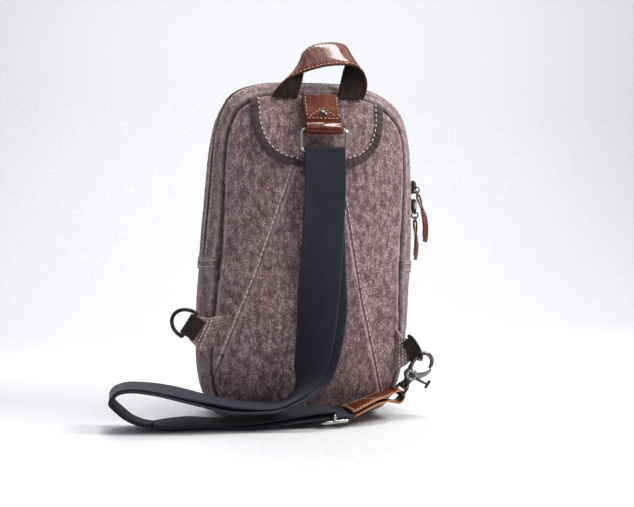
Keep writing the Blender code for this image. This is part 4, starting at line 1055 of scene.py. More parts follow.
def build_handle():
    handle_strip("handle_top_leather", "leather", 0.0, LEATHER, 0.0, "carry_handle")
    handle_strip("handle_under_leather", "dark_leather", -0.0012, -0.0001, 0.0010, "handle_lining")
    rows = handle_rows()
    near, far = rows[:, :3], rows[:, 3:]
    across = unit(far - near)
    normal = unit(np.cross(np.gradient((near + far) / 2, axis=0), across))
    for label, line in (("near", near + across * HANDLE_STITCH_IN), ("far", far - across * HANDLE_STITCH_IN)):
        tilt = unit(np.cross(np.gradient(line, axis=0), across))
        stitches(f"handle_{label}_stitches", line + tilt * (LEATHER + 0.00005), (tilt + normal) / 2,
                 mat="warm_thread", length=0.0028, gap=0.0011, body="handle")


TAB_X = 0.009
TAB_WIDTH = 0.0350
RING_TOP = np.array([0.0105, -0.0615, 0.2670])
RING_SIZE = (0.0418, 0.0190)
RING_WIRE = 0.0016


def rounded_loop(centre, right, up, size, corner, per_corner=10):
    """Centre line of a rectangle with rounded corners, evenly spaced."""
    points = []
    for quarter, signs in enumerate(((1, 1), (-1, 1), (-1, -1), (1, -1))):
        for k in range(per_corner + 1):
            angle = (quarter + k / per_corner) * math.pi / 2
            a = signs[0] * (size[0] / 2 - corner) + corner * math.cos(angle)
            b = signs[1] * (size[1] / 2 - corner) + corner * math.sin(angle)
            points.append(np.asarray(centre) + right * a + up * b)
    return respaced(points, 0.0005, closed=True)


def tab_stations():
    """The tab hangs from the top seam, rolls loosely round the ring's bar and goes back up behind."""
    y, z = RING_TOP[1], RING_TOP[2]
    stations = [((TAB_X, -0.0490, 0.3005), (0, -1, 0.35), TAB_WIDTH - 0.0015),
                ((TAB_X, -0.0545, 0.2900), (0, -1, 0.42), TAB_WIDTH - 0.0005),
                ((TAB_X + 0.0004, -0.0600, 0.2796), (0, -1, 0.40), TAB_WIDTH),
                ((TAB_X + 0.0006, -0.0612, 0.2740), (0, -1, 0.06), TAB_WIDTH),
                ((TAB_X + 0.0008, -0.0626, 0.2716), (0, -0.72, 0.70), TAB_WIDTH)]
    for k in range(9):
        angle = math.pi * (1 + k / 8) - 0.30
        direction = np.array([0, math.cos(angle), math.sin(angle)])
        fold = RING_WIRE + BAR_CLEAR + LEATHER / 2 + 0.0010 * bump(k - 1.0, 2.2)
        stations.append((np.array([TAB_X + 0.0010, y, z]) + direction * fold, direction, TAB_WIDTH))
    stations += [((TAB_X + 0.0006, -0.0573, 0.2760), (0, 1, -0.35), TAB_WIDTH - 0.001),
                 ((TAB_X, -0.0512, 0.2885), (0, 1, -0.3), TAB_WIDTH - 0.001),
                 ((TAB_X, -0.0470, 0.2975), (0, 1, -0.2), TAB_WIDTH - 0.001)]
    return stations


def build_ring_tab():
    rows = band_rows(tab_stations(), 0.0006)
    band("tab_leather", rows, band_section(LEATHER, corner=0.7, crown=0.0004, across=30), "leather",
         replaces=("ring_tab",))
    face = rows[:int(0.036 / 0.0006)]
    centre, normal, *_ = sweep_frames(face)
    run = run_length(centre)

    def on_face(at, side):
        """Point and normal on the tab's outer face, at a length below its top and right of its middle."""
        at, side = np.broadcast_arrays(np.asarray(at, float), np.asarray(side, float))
        spot = np.stack([np.interp(at, run, centre[:, k]) for k in range(3)], axis=1)
        way = unit(np.stack([np.interp(at, run, normal[:, k]) for k in range(3)], axis=1))
        return spot + X * side[:, None] + way * (LEATHER / 2 + 0.0003), way

    half = TAB_WIDTH / 2 - 0.0030
    base, apex = 0.0262, 0.0155
    paths = {"left_side": ((0.0030, -half), (base, -half)), "right_side": ((0.0030, half), (base, half)),
             "base": ((base, -half), (base, half)),
             "left_slope": ((base - 0.0012, -half + 0.002), (apex, -0.0004)),
             "right_slope": ((apex, 0.0004), (base - 0.0012, half - 0.002))}
    for label, (start, end) in paths.items():
        share = np.linspace(0, 1, 60)
        spots, normals = on_face(start[0] + (end[0] - start[0]) * share,
                                 start[1] + (end[1] - start[1]) * share)
        stitches(f"tab_{label}_stitches", spots, normals, mat="warm_thread", length=0.0027, gap=0.0010,
                 radius=0.00036)
    spot, way = on_face([0.0215], [0.0004])
    dome = [(0, -0.0006), (0.0035, -0.0006), (0.0037, 0.0000), (0.0035, 0.0004), (0.0030, 0.0008),
            (0.0021, 0.0011), (0.0010, 0.0012), (0, 0.0013)]
    lathe("tab_rivet_dome", dome, spot[0], way[0], "gunmetal", replaces=("tab_rivet",))
    centre = RING_TOP - Z * RING_SIZE[1] / 2
    tube("ring_wire", rounded_loop(centre, X, Z, RING_SIZE, 0.0030), RING_WIRE, "nickel", closed=True,
         body="strap_ring", replaces=("top_ring",))


# ---------------------------------------------------------------- strap
STRAP_STATIONS = [
    ((0.0109, -0.0655, 0.2340), (0, -1, 0)),
    ((0.0100, -0.0672, 0.2100), (0, -1, 0)),
    ((0.0078, -0.0688, 0.1700), (0, -1, 0)),
    ((0.0045, -0.0694, 0.1300), (-0.20, -1, 0)),
    ((0.0020, -0.0704, 0.0950), (-0.47, -0.88, 0)),
    ((-0.0010, -0.0714, 0.0690), (-0.66, -0.75, 0)),
    ((-0.0050, -0.0714, 0.0490), (-0.82, -0.57, 0)),
    ((-0.0110, -0.0710, 0.0345), (-0.97, -0.15, 0.17)),
    ((-0.0190, -0.0706, 0.0250), (-0.72, 0.05, 0.69)),
    ((-0.0300, -0.0706, 0.0200), (-0.28, 0.04, 0.96)),
    ((-0.0450, -0.0703, 0.0186), (-0.02, 0, 1)),
    ((-0.0740, -0.0700, 0.0215), (-0.12, 0, 1)),
    ((-0.1050, -0.0690, 0.0285), (-0.15, 0, 1)),
    ((-0.1350, -0.0640, 0.0354), (-0.14, 0, 1)),
    ((-0.1560, -0.0598, 0.0380), (-0.05, 0, 1)),
    ((-0.1690, -0.0570, 0.0370), (-0.32, 0, 0.95)),
    ((-0.1765, -0.0552, 0.0325), (-0.84, 0, 0.55)),
    ((-0.1793, -0.0542, 0.0275), (-1, 0, -0.02)),
    ((-0.1765, -0.0538, 0.0225), (-0.82, 0, -0.57)),
    ((-0.1700, -0.0540, 0.0162), (-0.70, 0, -0.72)),
    ((-0.1630, -0.0548, 0.0102), (-0.60, 0, -0.80)),
    ((-0.1540, -0.0560, 0.0056), (-0.34, 0, -0.94)),
    ((-0.1440, -0.0574, 0.0032), (-0.12, 0, -1)),
    ((-0.1300, -0.0590, 0.0021), (0, 0, -1)),
    ((-0.1050, -0.0610, 0.0022), (0, 0, -1)),
    ((-0.0800, -0.0618, 0.0022), (0, 0, -1)),
    ((-0.0620, -0.0622, 0.0024), (0, 0, -1))]
SLIDE_LOW = np.array([-0.0250, -0.0655, 0.0054])
SLIDE_HIGH = np.array([0.0290, -0.0655, 0.0100])
SLIDE_AXIS = unit(SLIDE_HIGH - SLIDE_LOW)
SLIDE_NORMAL = unit(np.cross(-Y, SLIDE_AXIS))
GLIDE_AT = 0.0400
GLIDE_WIRE = 0.0015
SEWN_END = [((0.0350, -0.0653, 0.0118), (-0.30, 0.03, 1), 0.0365),
            ((0.0430, -0.0645, 0.0148), (-0.32, 0.06, 1), 0.0340),
            ((0.0530, -0.0618, 0.0180), (-0.28, 0.08, 1), 0.0300)]


def doubled_rows():
    """Centre line of the doubled webbing, its outer face's direction and its width."""
    return band_rows([(p, n, STRAP_WIDTH) for p, n in STRAP_STATIONS], 0.0010)


def webbing_section():
    """Ribbed section with a thick woven edge."""
    share = np.linspace(-1, 1, 49)
    edge = np.clip((1 - np.abs(share)) / 0.05, 0, 1)
    selvedge = 0.00018 * bump(np.abs(share) - 0.94, 0.03)
    height = STRAP_LAYER / 2 * np.sqrt(1 - (1 - edge) ** 2 * 0.9) + selvedge
    height = height + 0.00003 * np.cos(share * 20 * math.pi)
    return np.vstack([np.stack([share, height], axis=1), np.stack([share[::-1], -height[::-1]], axis=1)])


def woven_edges(verts, across, run, section):
    """Selvedge loops: the edge swells and sinks with each pick."""
    at_edge = np.clip((np.abs(section[:, 0]) - 0.93) / 0.07, 0, 1)
    swell = 0.00016 * np.sin(run / 0.0022 * 2 * math.pi)[:, None] * at_edge
    return verts + across[:, None] * (np.sign(section[:, 0]) * swell)[..., None]


def build_strap():
    doubled = doubled_rows()
    centre, normal, across, width, _ = sweep_frames(doubled)
    run = run_length(centre)
    half = STRAP_LAYER / 2 + 0.00015
    upper = bump(centre[:, 0] + 0.082, 0.028) * (centre[:, 2] > 0.012)
    turned = run[int(np.argmin(centre[:, 0]))]          # the fold at the far left
    under = np.clip((run - turned - 0.016) / 0.030, 0, 1) * np.clip((run[-1] - run) / 0.030, 0, 1)
    tilt = 0.10 * under
    low_lift = 0.0018 * under
    normal = unit(normal - across * tilt[:, None])
    centre = centre + Z * low_lift[:, None]
    outer = np.hstack([centre + normal * half, normal, width[:, None]])

    bar = np.array([0.0109, RING_TOP[1], RING_TOP[2] - RING_SIZE[1]])
    fold = RING_WIRE + BAR_CLEAR + STRAP_LAYER / 2
    stations = [((0.0102, -0.0663, 0.2000), (0, 1, 0), STRAP_WIDTH),
                ((0.0106, -0.0655, 0.2120), (0, 1, 0), STRAP_WIDTH),
                ((0.0109, -0.0643, 0.2250), (0, 1, 0), STRAP_WIDTH),
                ((0.0109, -0.0618, 0.2375), (0, 1, 0), 0.0376)]
    for k in range(9):
        angle = math.pi * k / 8
        direction = np.array([0, math.cos(angle), math.sin(angle)])
        stations.append((bar + direction * fold, direction, 0.0374))
    stations.append(((0.0109, -0.0657, 0.2385), (0, -1, 0), 0.0377))
    loop = spline(station_rows(stations), 10)
    low = [((-0.0560, -0.0625, 0.0020), (0, 0, -1), STRAP_WIDTH),
           ((-0.0430, -0.0630, 0.0030), (0.05, 0, -1), STRAP_WIDTH),
           (SLIDE_LOW, -SLIDE_NORMAL, STRAP_WIDTH),
           ((SLIDE_LOW + SLIDE_HIGH) / 2, -SLIDE_NORMAL, STRAP_WIDTH),
           (SLIDE_HIGH, -SLIDE_NORMAL, STRAP_WIDTH)]
    low += [(p, tuple(-c for c in n), w - 0.0015) for p, n, w in SEWN_END]
    low = spline(station_rows(low), 10)
    whole = respaced(np.vstack([loop, outer[3:-4], low]), 0.0009)
    piece = band("strap_outer_webbing", whole, webbing_section(), "webbing", taper=woven_edges, body=None,
                 replaces=("strap_ring_loop", "strap_doubled_run", "strap_lower_layer"))
    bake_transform(piece)

    shift = 0.0078 * np.clip((run - 0.050) / 0.080, 0, 1) * (1 - 0.75 * np.clip((run - 0.205) / 0.060, 0, 1))
    gap = 0.0030 * upper
    inner_rows = np.hstack([centre - normal * (half + gap)[:, None] - across * shift[:, None], normal,
                            width[:, None]])
    start = int(np.searchsorted(-centre[:, 2], -0.1990))
    hump_from = int(np.argmax((run > turned) & (centre[:, 0] > -0.1430)))
    inner = respaced(inner_rows[start:hump_from + 1], 0.0009)
    piece = band("strap_inner_webbing", inner, webbing_section(), "webbing", taper=woven_edges, body=None)
    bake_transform(piece)

    high = SLIDE_LOW + SLIDE_AXIS * GLIDE_AT + SLIDE_NORMAL * (STRAP_LAYER / 2 + GLIDE_WIRE + 0.0005)
    turn = GLIDE_WIRE + BAR_CLEAR + STRAP_LAYER / 2
    first = inner[-1]
    stations = [(first[:3], -np.asarray(first[3:6]), STRAP_WIDTH),
                ((-0.1270, -0.0598, 0.0054), (-0.06, -0.03, 1), STRAP_WIDTH),
                ((-0.1110, -0.0608, 0.0064), (0.02, -0.03, 1), STRAP_WIDTH),
                ((-0.0950, -0.0615, 0.0055), (0.05, 0, 1), STRAP_WIDTH),
                ((-0.0760, -0.0620, 0.0050), (0.02, 0.02, 1), STRAP_WIDTH),
                ((-0.0520, -0.0626, 0.0060), (-0.04, 0.03, 1), STRAP_WIDTH)]
    for back, rise in ((0.050, -0.0010), (0.030, 0.0000), (0.012, 0.0004)):
        stations.append((high - SLIDE_AXIS * back + SLIDE_NORMAL * (turn + rise), SLIDE_NORMAL, 0.0374))
    for k in range(8):
        angle = math.pi * (0.5 - 0.95 * k / 7)
        direction = SLIDE_AXIS * math.cos(angle) + SLIDE_NORMAL * math.sin(angle)
        stations.append((high + direction * turn, direction, 0.0364))
    rows = band_rows(stations, 0.0009)
    piece = band("strap_slider_webbing", rows, webbing_section(), "webbing", taper=woven_edges, body=None,
                 replaces=("strap_slider_tail",))
    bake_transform(piece)


def build_triglide():
    """A flat frame, and a raised centre bar over which the webbing turns."""
    clear = STRAP_LAYER / 2 + GLIDE_WIRE + 0.0005
    centre = SLIDE_LOW + SLIDE_AXIS * GLIDE_AT
    half_long, half_wide = 0.0118, STRAP_WIDTH / 2 + 0.0026
    low = centre - SLIDE_NORMAL * clear
    tube("triglide_frame", rounded_loop(low, SLIDE_AXIS, -Y, (2 * half_long, 2 * half_wide), 0.0032),
         GLIDE_WIRE, "nickel", closed=True, body="strap_slider", replaces=("triglide",))
    high = centre + SLIDE_NORMAL * clear
    points = spline([low - Y * half_wide, low * 0.4 + high * 0.6 - Y * (half_wide - 0.0002),
                     high - Y * (half_wide - 0.0016), high, high + Y * (half_wide - 0.0016),
                     low * 0.4 + high * 0.6 + Y * (half_wide - 0.0002), low + Y * half_wide], 12)
    tube("triglide_bar", respaced(points, 0.0006), GLIDE_WIRE * 0.95, "nickel", body="strap_slider")


# ---------------------------------------------------------------- end tab and swivel hook
EYE = np.array([0.0870, -0.0495, 0.0270])
HOOK_UP = unit(np.array([0.630, 0.0, 0.777]))
HOOK_SIDE = np.array([HOOK_UP[2], 0.0, -HOOK_UP[0]])
HOOK_OUT = -Y
EYE_BAR = -0.0050
EYE_TOP = 0.0050
PIVOT = (0.0160, -0.0015)
SEWN_LENGTH = 0.0440              # the end tab's rows of stitches run this far from its tip


def hook_point(along, side, out=0.0):
    return EYE + HOOK_UP * along + HOOK_SIDE * side + HOOK_OUT * out


def build_end_tab():
    half = 0.0008                 # half of the leather's thickness
    layer = STRAP_LAYER / 2 + 0.0004 + half
    ends = [(np.array(p), unit(n), w) for p, n, w in SEWN_END]
    first = np.array([0.0318, -0.0655, 0.0108])
    stations = [(first - ends[0][1] * layer, -ends[0][1], 0.0345)]
    stations += [(p - n * layer, -n, w + 0.001) for p, n, w in ends]
    stations += [((0.0610, -0.0585, 0.0187), (0.10, 0, -1), 0.0290),
                 ((0.0690, -0.0548, 0.0184), (0.25, 0, -1), 0.0250),
                 ((0.0745, -0.0525, 0.0163), (0.20, 0, -1), 0.0215),
                 ((0.0795, -0.0505, 0.0150), (0.10, 0, -1), 0.0190),
                 ((0.0845, -0.0497, 0.0164), (0.62, 0, -0.78), 0.0190),
                 ((0.0874, -0.0495, 0.0200), (0.96, 0, -0.25), 0.0190),
                 ((0.0875, -0.0495, 0.0238), (0.92, 0, 0.40), 0.0190),
                 ((0.0850, -0.0495, 0.0264), (0.35, 0, 0.94), 0.0190),
                 ((0.0810, -0.0500, 0.0268), (-0.05, 0, 1), 0.0195),
                 ((0.0740, -0.0522, 0.0252), (-0.22, 0, 1), 0.0215),
                 ((0.0655, -0.0563, 0.0230), (-0.25, 0, 1), 0.0265)]
    stations += [(p + n * layer, n, w + 0.001) for p, n, w in reversed(ends)]
    stations.append((first + ends[0][1] * layer, ends[0][1], 0.0345))
    rows = band_rows(stations, 0.0007)
    band("end_tab_leather", rows, band_section(2 * half, corner=0.45, across=26), "tan_leather",
         replaces=("end_tab",))
    centre, normal, across, width, _ = sweep_frames(rows)
    run = run_length(centre)
    for label, keep in (("upper", run > run[-1] - SEWN_LENGTH), ("lower", run < SEWN_LENGTH)):
        for side, sign in (("near", -1), ("far", 1)):
            inset_by = (width / 2 - 0.0022)[:, None] * sign
            path = (centre + across * inset_by + normal * (half + 0.0001))[keep]
            stitches(f"end_tab_{label}_{side}_stitches", path, normal[keep], mat="warm_thread", length=0.0026,
                     gap=0.0010, radius=0.00034)
    for label, back in (("tip", 0.0026), ("throat", 0.0240)):
        k = int(np.searchsorted(run, run[-1] - back))
        reach = (width[k] / 2 - 0.0022) * np.linspace(-1, 1, 60)
        path = centre[k] + across[k] * reach[:, None] + normal[k] * (half + 0.0001)
        stitches(f"end_tab_{label}_stitches", path, np.broadcast_to(normal[k], path.shape), mat="warm_thread",
                 length=0.0026, gap=0.0010, radius=0.00034)


def hook_rod(name, path, mat, out=0.0, per_span=12, step=0.0005, **options):
    """A rod over rows of along and side in metres and radius in mm, at height out over the hook's plane."""
    points = [list(hook_point(along, side, out)) + [radius * 0.001] for along, side, radius in path]
    rows = respaced(spline(points, per_span), step)
    tube(name, rows[:, :3], rows[:, 3], mat, **options)


def build_hook():
    middle = hook_point((EYE_TOP + EYE_BAR) / 2, 0)
    tube("swivel_eye_wire", rounded_loop(middle, HOOK_OUT, HOOK_UP, (0.0265, EYE_TOP - EYE_BAR), 0.0036),
         0.0015, "gunmetal", closed=True, replaces=("swivel_eye",))
    block = [(0, -0.0022), (0.0030, -0.0022), (0.0041, -0.0014), (0.0044, 0), (0.0041, 0.0014),
             (0.0030, 0.0020), (0, 0.0020)]
    lathe("swivel_eye_boss", block, hook_point(EYE_TOP - 0.0002, 0), HOOK_UP, "gunmetal")

    bend = [(0.0120, -0.0010, 0.0, 2.5), (0.0165, -0.0038, -0.0003, 2.3), (0.0225, -0.0064, 0.0006, 2.1),
            (0.0290, -0.0076, 0.0020, 2.0), (0.0350, -0.0070, 0.0027, 1.95), (0.0396, -0.0038, 0.0025, 1.95),
            (0.0412, 0.0012, 0.0017, 1.95), (0.0396, 0.0062, 0.0008, 2.0), (0.0358, 0.0090, 0.0002, 1.8),
            (0.0318, 0.0096, 0.0, 1.4)]
    rows = respaced(spline([list(hook_point(a, s, o)) + [r * 0.001] for a, s, o, r in bend], 14), 0.0005)
    tube("hook_bend", rows[:, :3], rows[:, 3], "gunmetal", sides=20, flat=(HOOK_OUT, 0.88), body="snap_hook",
         replaces=("hook_body",))
    boss = [(0, -0.0030), (0.0052, -0.0030), (0.0060, -0.0023), (0.0060, 0.0016), (0.0054, 0.0022),
            (0, 0.0022)]
    lathe("hook_boss", boss, hook_point(*PIVOT), HOOK_OUT, "gunmetal", body="snap_hook")
    neck = [(0, 0.0008), (0.0028, 0.0008), (0.0034, 0.0014), (0.0034, 0.0021), (0.0022, 0.0027),
            (0.0020, 0.0054), (0.0034, 0.0062), (0.0042, 0.0069), (0.0042, 0.0076), (0.0031, 0.0082),
            (0.0031, 0.0085), (0.0043, 0.0091), (0.0043, 0.0098), (0.0032, 0.0104), (0.0032, 0.0107),
            (0.0042, 0.0113), (0.0041, 0.0121), (0.0034, 0.0130), (0.0036, 0.0142), (0, 0.0150)]
    lathe("hook_neck", neck, hook_point(0, 0), HOOK_UP, "gunmetal", body="snap_hook")

    plate_out = 0.0033            # the lever lies this far out of the hook's plane
    gate = [(0.0318, 0.0103, 1.1), (0.0292, 0.0102, 1.6), (0.0252, 0.0088, 2.2), (0.0208, 0.0056, 2.9),
            (0.0168, 0.0018, 3.6)]
    hook_rod("lever_gate", gate, "gate_metal", plate_out, sides=18, flat=(HOOK_OUT, 0.22), body="trigger",
             replaces=("hook_lever",))
    disc = [(0, -0.0008), (0.0053, -0.0008), (0.0058, -0.0004), (0.0058, 0.0004), (0.0053, 0.0008),
            (0, 0.0008)]
    lathe("lever_disc", disc, hook_point(*PIVOT, plate_out), HOOK_OUT, "gate_metal", body="trigger")
    tail = [(0.0160, 0.0015, 2.4), (0.0164, 0.0050, 1.8), (0.0170, 0.0095, 1.4), (0.0178, 0.0135, 1.2),
            (0.0186, 0.0165, 1.2)]
    hook_rod("lever_tail", tail, "gunmetal", plate_out, sides=16, flat=(HOOK_OUT, 0.70), body="trigger")
    cross = [(0.0142, 0.0171, 0.9), (0.0149, 0.0170, 1.4), (0.0186, 0.0167, 1.5), (0.0223, 0.0164, 1.4),
             (0.0230, 0.0163, 0.9)]
    hook_rod("lever_thumb", cross, "gunmetal", plate_out, per_span=8, step=0.0004, sides=14, body="trigger")
    rivet = [(0, -0.0002), (0.0027, -0.0002), (0.0027, 0.0004), (0.0022, 0.0010), (0.0012, 0.0014),
             (0, 0.0015)]
    ring = [hook_point(*PIVOT, plate_out + 0.0009) + (HOOK_UP * math.cos(a) + HOOK_SIDE * math.sin(a))
            * 0.0041
            for a in np.linspace(0, 2 * math.pi, 49)[:-1]]
    tube("lever_pivot_ring", np.array(ring), 0.00075, "nickel", closed=True, sides=12, body="trigger")
    lathe("lever_pivot_head", rivet, hook_point(*PIVOT, plate_out + 0.0009), HOOK_OUT, "gunmetal",
          body="snap_hook",
          replaces=("hook_pivot_rivet",))


# ---------------------------------------------------------------- corner wings and D-rings
LEFT_BAR = np.array([-0.1105, -0.0450, 0.0905])
LEFT_BAR_DIR = unit(np.array([-0.54, 0.0, -0.84]))
LEFT_OUT = unit(np.array([-0.84, 0.0, 0.54]))
RIGHT_BAR = np.array([0.1010, -0.0445, 0.0648])
RIGHT_BAR_DIR = unit(np.array([0.4068, 0.0, -0.9135]))
D_REACH = 0.0165
D_WIRE = 0.00175
D_WEB = 0.020
HALF_WING = 0.0012


def d_ring(name, centre, bar_dir, out_dir, reach, body, node):
    """A straight bar and a half-round bow."""
    half_bar = 0.0122
    angles = np.linspace(0, math.pi, 60)[1:-1]
    points = [centre + bar_dir * half_bar * k for k in np.linspace(-1, 1, 20)]
    points += [centre + bar_dir * half_bar * math.cos(a) + out_dir * reach
               * math.sin(a) ** 0.9 for a in angles]
    tube(name, respaced(points, 0.0006, closed=True), D_WIRE, "ring_metal", closed=True, body=body,
         replaces=(node,))


def web_loop(name, bar, inward, face, reach, node):
    """Webbing folded round a D-ring's bar, one leg on each face of the wing."""
    fold = D_WIRE + BAR_CLEAR + STRAP_LAYER / 2
    legs = HALF_WING + 0.0003 + STRAP_LAYER / 2
    stations = [(bar + inward * reach + face * legs, face, D_WEB),
                (bar + inward * 0.0070 + face * legs, face, D_WEB)]
    for k in range(9):
        angle = math.pi * (0.5 - k / 8)
        direction = face * math.sin(angle) - inward * math.cos(angle)
        stations.append((bar + direction * fold, direction, D_WEB))
    stations += [(bar + inward * 0.0070 - face * legs, -face, D_WEB),
                 (bar + inward * reach - face * legs, -face, D_WEB)]
    section = band_section(STRAP_LAYER, ribs=7, rib_height=0.0001, corner=0.8)
    band(name, band_rows(stations, 0.0006), section, "black_webbing", replaces=(node,))


def wing_cloth(name, grid, node, stitch_shares):
    """A doubled canvas wing over a net whose rows run from the body's seam to the webbing."""
    rows, cols = grid.shape[:2]
    normal = grid_normals(grid)
    share = np.linspace(-1, 1, cols)
    edge = np.clip(1 - (1 - np.abs(share)) / 0.10, 0, 1) ** 2
    thick = HALF_WING * (1 - 0.7 * edge)[None, :, None]
    puff = 0.0004 * noise_at(grid, 0.012, 3.0)[..., None]
    ring = np.concatenate([grid + normal * (thick + puff), (grid - normal * (thick - puff))[:, ::-1]], axis=1)
    lengths = np.linspace(0, 0.030, rows)
    weave = np.stack(np.broadcast_arrays(lengths[:, None],
                                         np.concatenate([share, share[::-1]])[None, :] * 0.016, 0.0),
                     axis=-1).reshape(-1, 3)
    fade = np.broadcast_to(np.concatenate([edge, edge[::-1]]), (rows, 2 * cols)).ravel()
    make(name, ring.reshape(-1, 3), capped_faces(rows, 2 * cols), "canvas_side",
         attrs={"weave": weave, "fade": fade}, replaces=(node,))
    for k, at in enumerate(stitch_shares):
        row = min(rows - 2, max(1, int(at * rows)))
        keep = slice(int(cols * 0.06), int(cols * 0.94) + 1)
        for word, sign in (("outer", 1), ("inner", -1)):
            line = grid[row, keep] + normal[row, keep] * sign * (HALF_WING + 0.0003)
            stitches(f"{name}_{word}_stitches_{k + 1}", line, normal[row, keep] * sign, length=0.0027,
                     gap=0.0009,
                     radius=0.00050)


def ribbon_net(stations, rows=40, cols=30):
    """A net of points over a band."""
    line = band_rows(stations, 0.0004)
    pick = np.linspace(0, len(line) - 1, rows).astype(int)
    centre, _, across, width, _ = sweep_frames(line)
    share = np.linspace(-1, 1, cols)
    return centre[pick][:, None] + across[pick][:, None] * (share[None, :, None]
                                                            * width[pick][:, None, None] / 2)


def build_corners():
    inward = -LEFT_OUT
    face = unit(np.cross(inward, LEFT_BAR_DIR))
    face = face if face[1] < 0 else -face
    wing = [((-0.0868, -0.0432, 0.0792), (-0.1, -1, 0), 0.0410),
            ((-0.0905, -0.0442, 0.0806), (-0.05, -1, 0), 0.0375),
            ((-0.0965, -0.0450, 0.0828), face, 0.0300), (LEFT_BAR + inward * 0.0055, face, 0.0222)]
    wing_cloth("left_wing_cloth", ribbon_net(wing), "left_wing", (0.46, 0.62, 0.78))
    web_loop("left_ring_loop", LEFT_BAR, inward, face, 0.0108, "left_ring_webbing")
    d_ring("left_ring_wire", LEFT_BAR, LEFT_BAR_DIR, LEFT_OUT, D_REACH, "left_ring", "left_d_ring")

    inward = unit(np.array([-0.9135, 0, -0.4068]))
    face = unit(np.cross(inward, RIGHT_BAR_DIR))
    face = face if face[1] < 0 else -face
    wing = [((0.0832, -0.0440, 0.0622), (0.1, -1, 0), 0.0395), ((0.0888, -0.0446, 0.0620), face, 0.0310),
            (RIGHT_BAR + inward * 0.0055, face, 0.0215)]
    wing_cloth("right_wing_cloth", ribbon_net(wing), "right_wing", (0.26, 0.48, 0.70))
    web_loop("right_ring_loop", RIGHT_BAR, inward, face, 0.0090, "right_ring_webbing")
    d_ring("right_ring_wire", RIGHT_BAR, RIGHT_BAR_DIR, -Y, D_REACH, "right_ring", "right_d_ring")


# ---------------------------------------------------------------- zip sliders
CHAIN_LENGTH = 0.0125             # from a slider's hinge to the eye of its leather pull
# label, depth of the zip, height, way the pull's end points, pull's length, lean and tilt of what hangs
SLIDERS = [
    ("upper", ZIP_BACK_Y, 0.2180, 1, 0.047, 0.260, -0.20),
    ("lower", ZIP_BACK_Y, 0.2005, -1, 0.038, 0.100, 0.17),
    ("front", ZIP_FRONT_Y, 0.1750, -1, 0.030, 0.050, -0.06)]


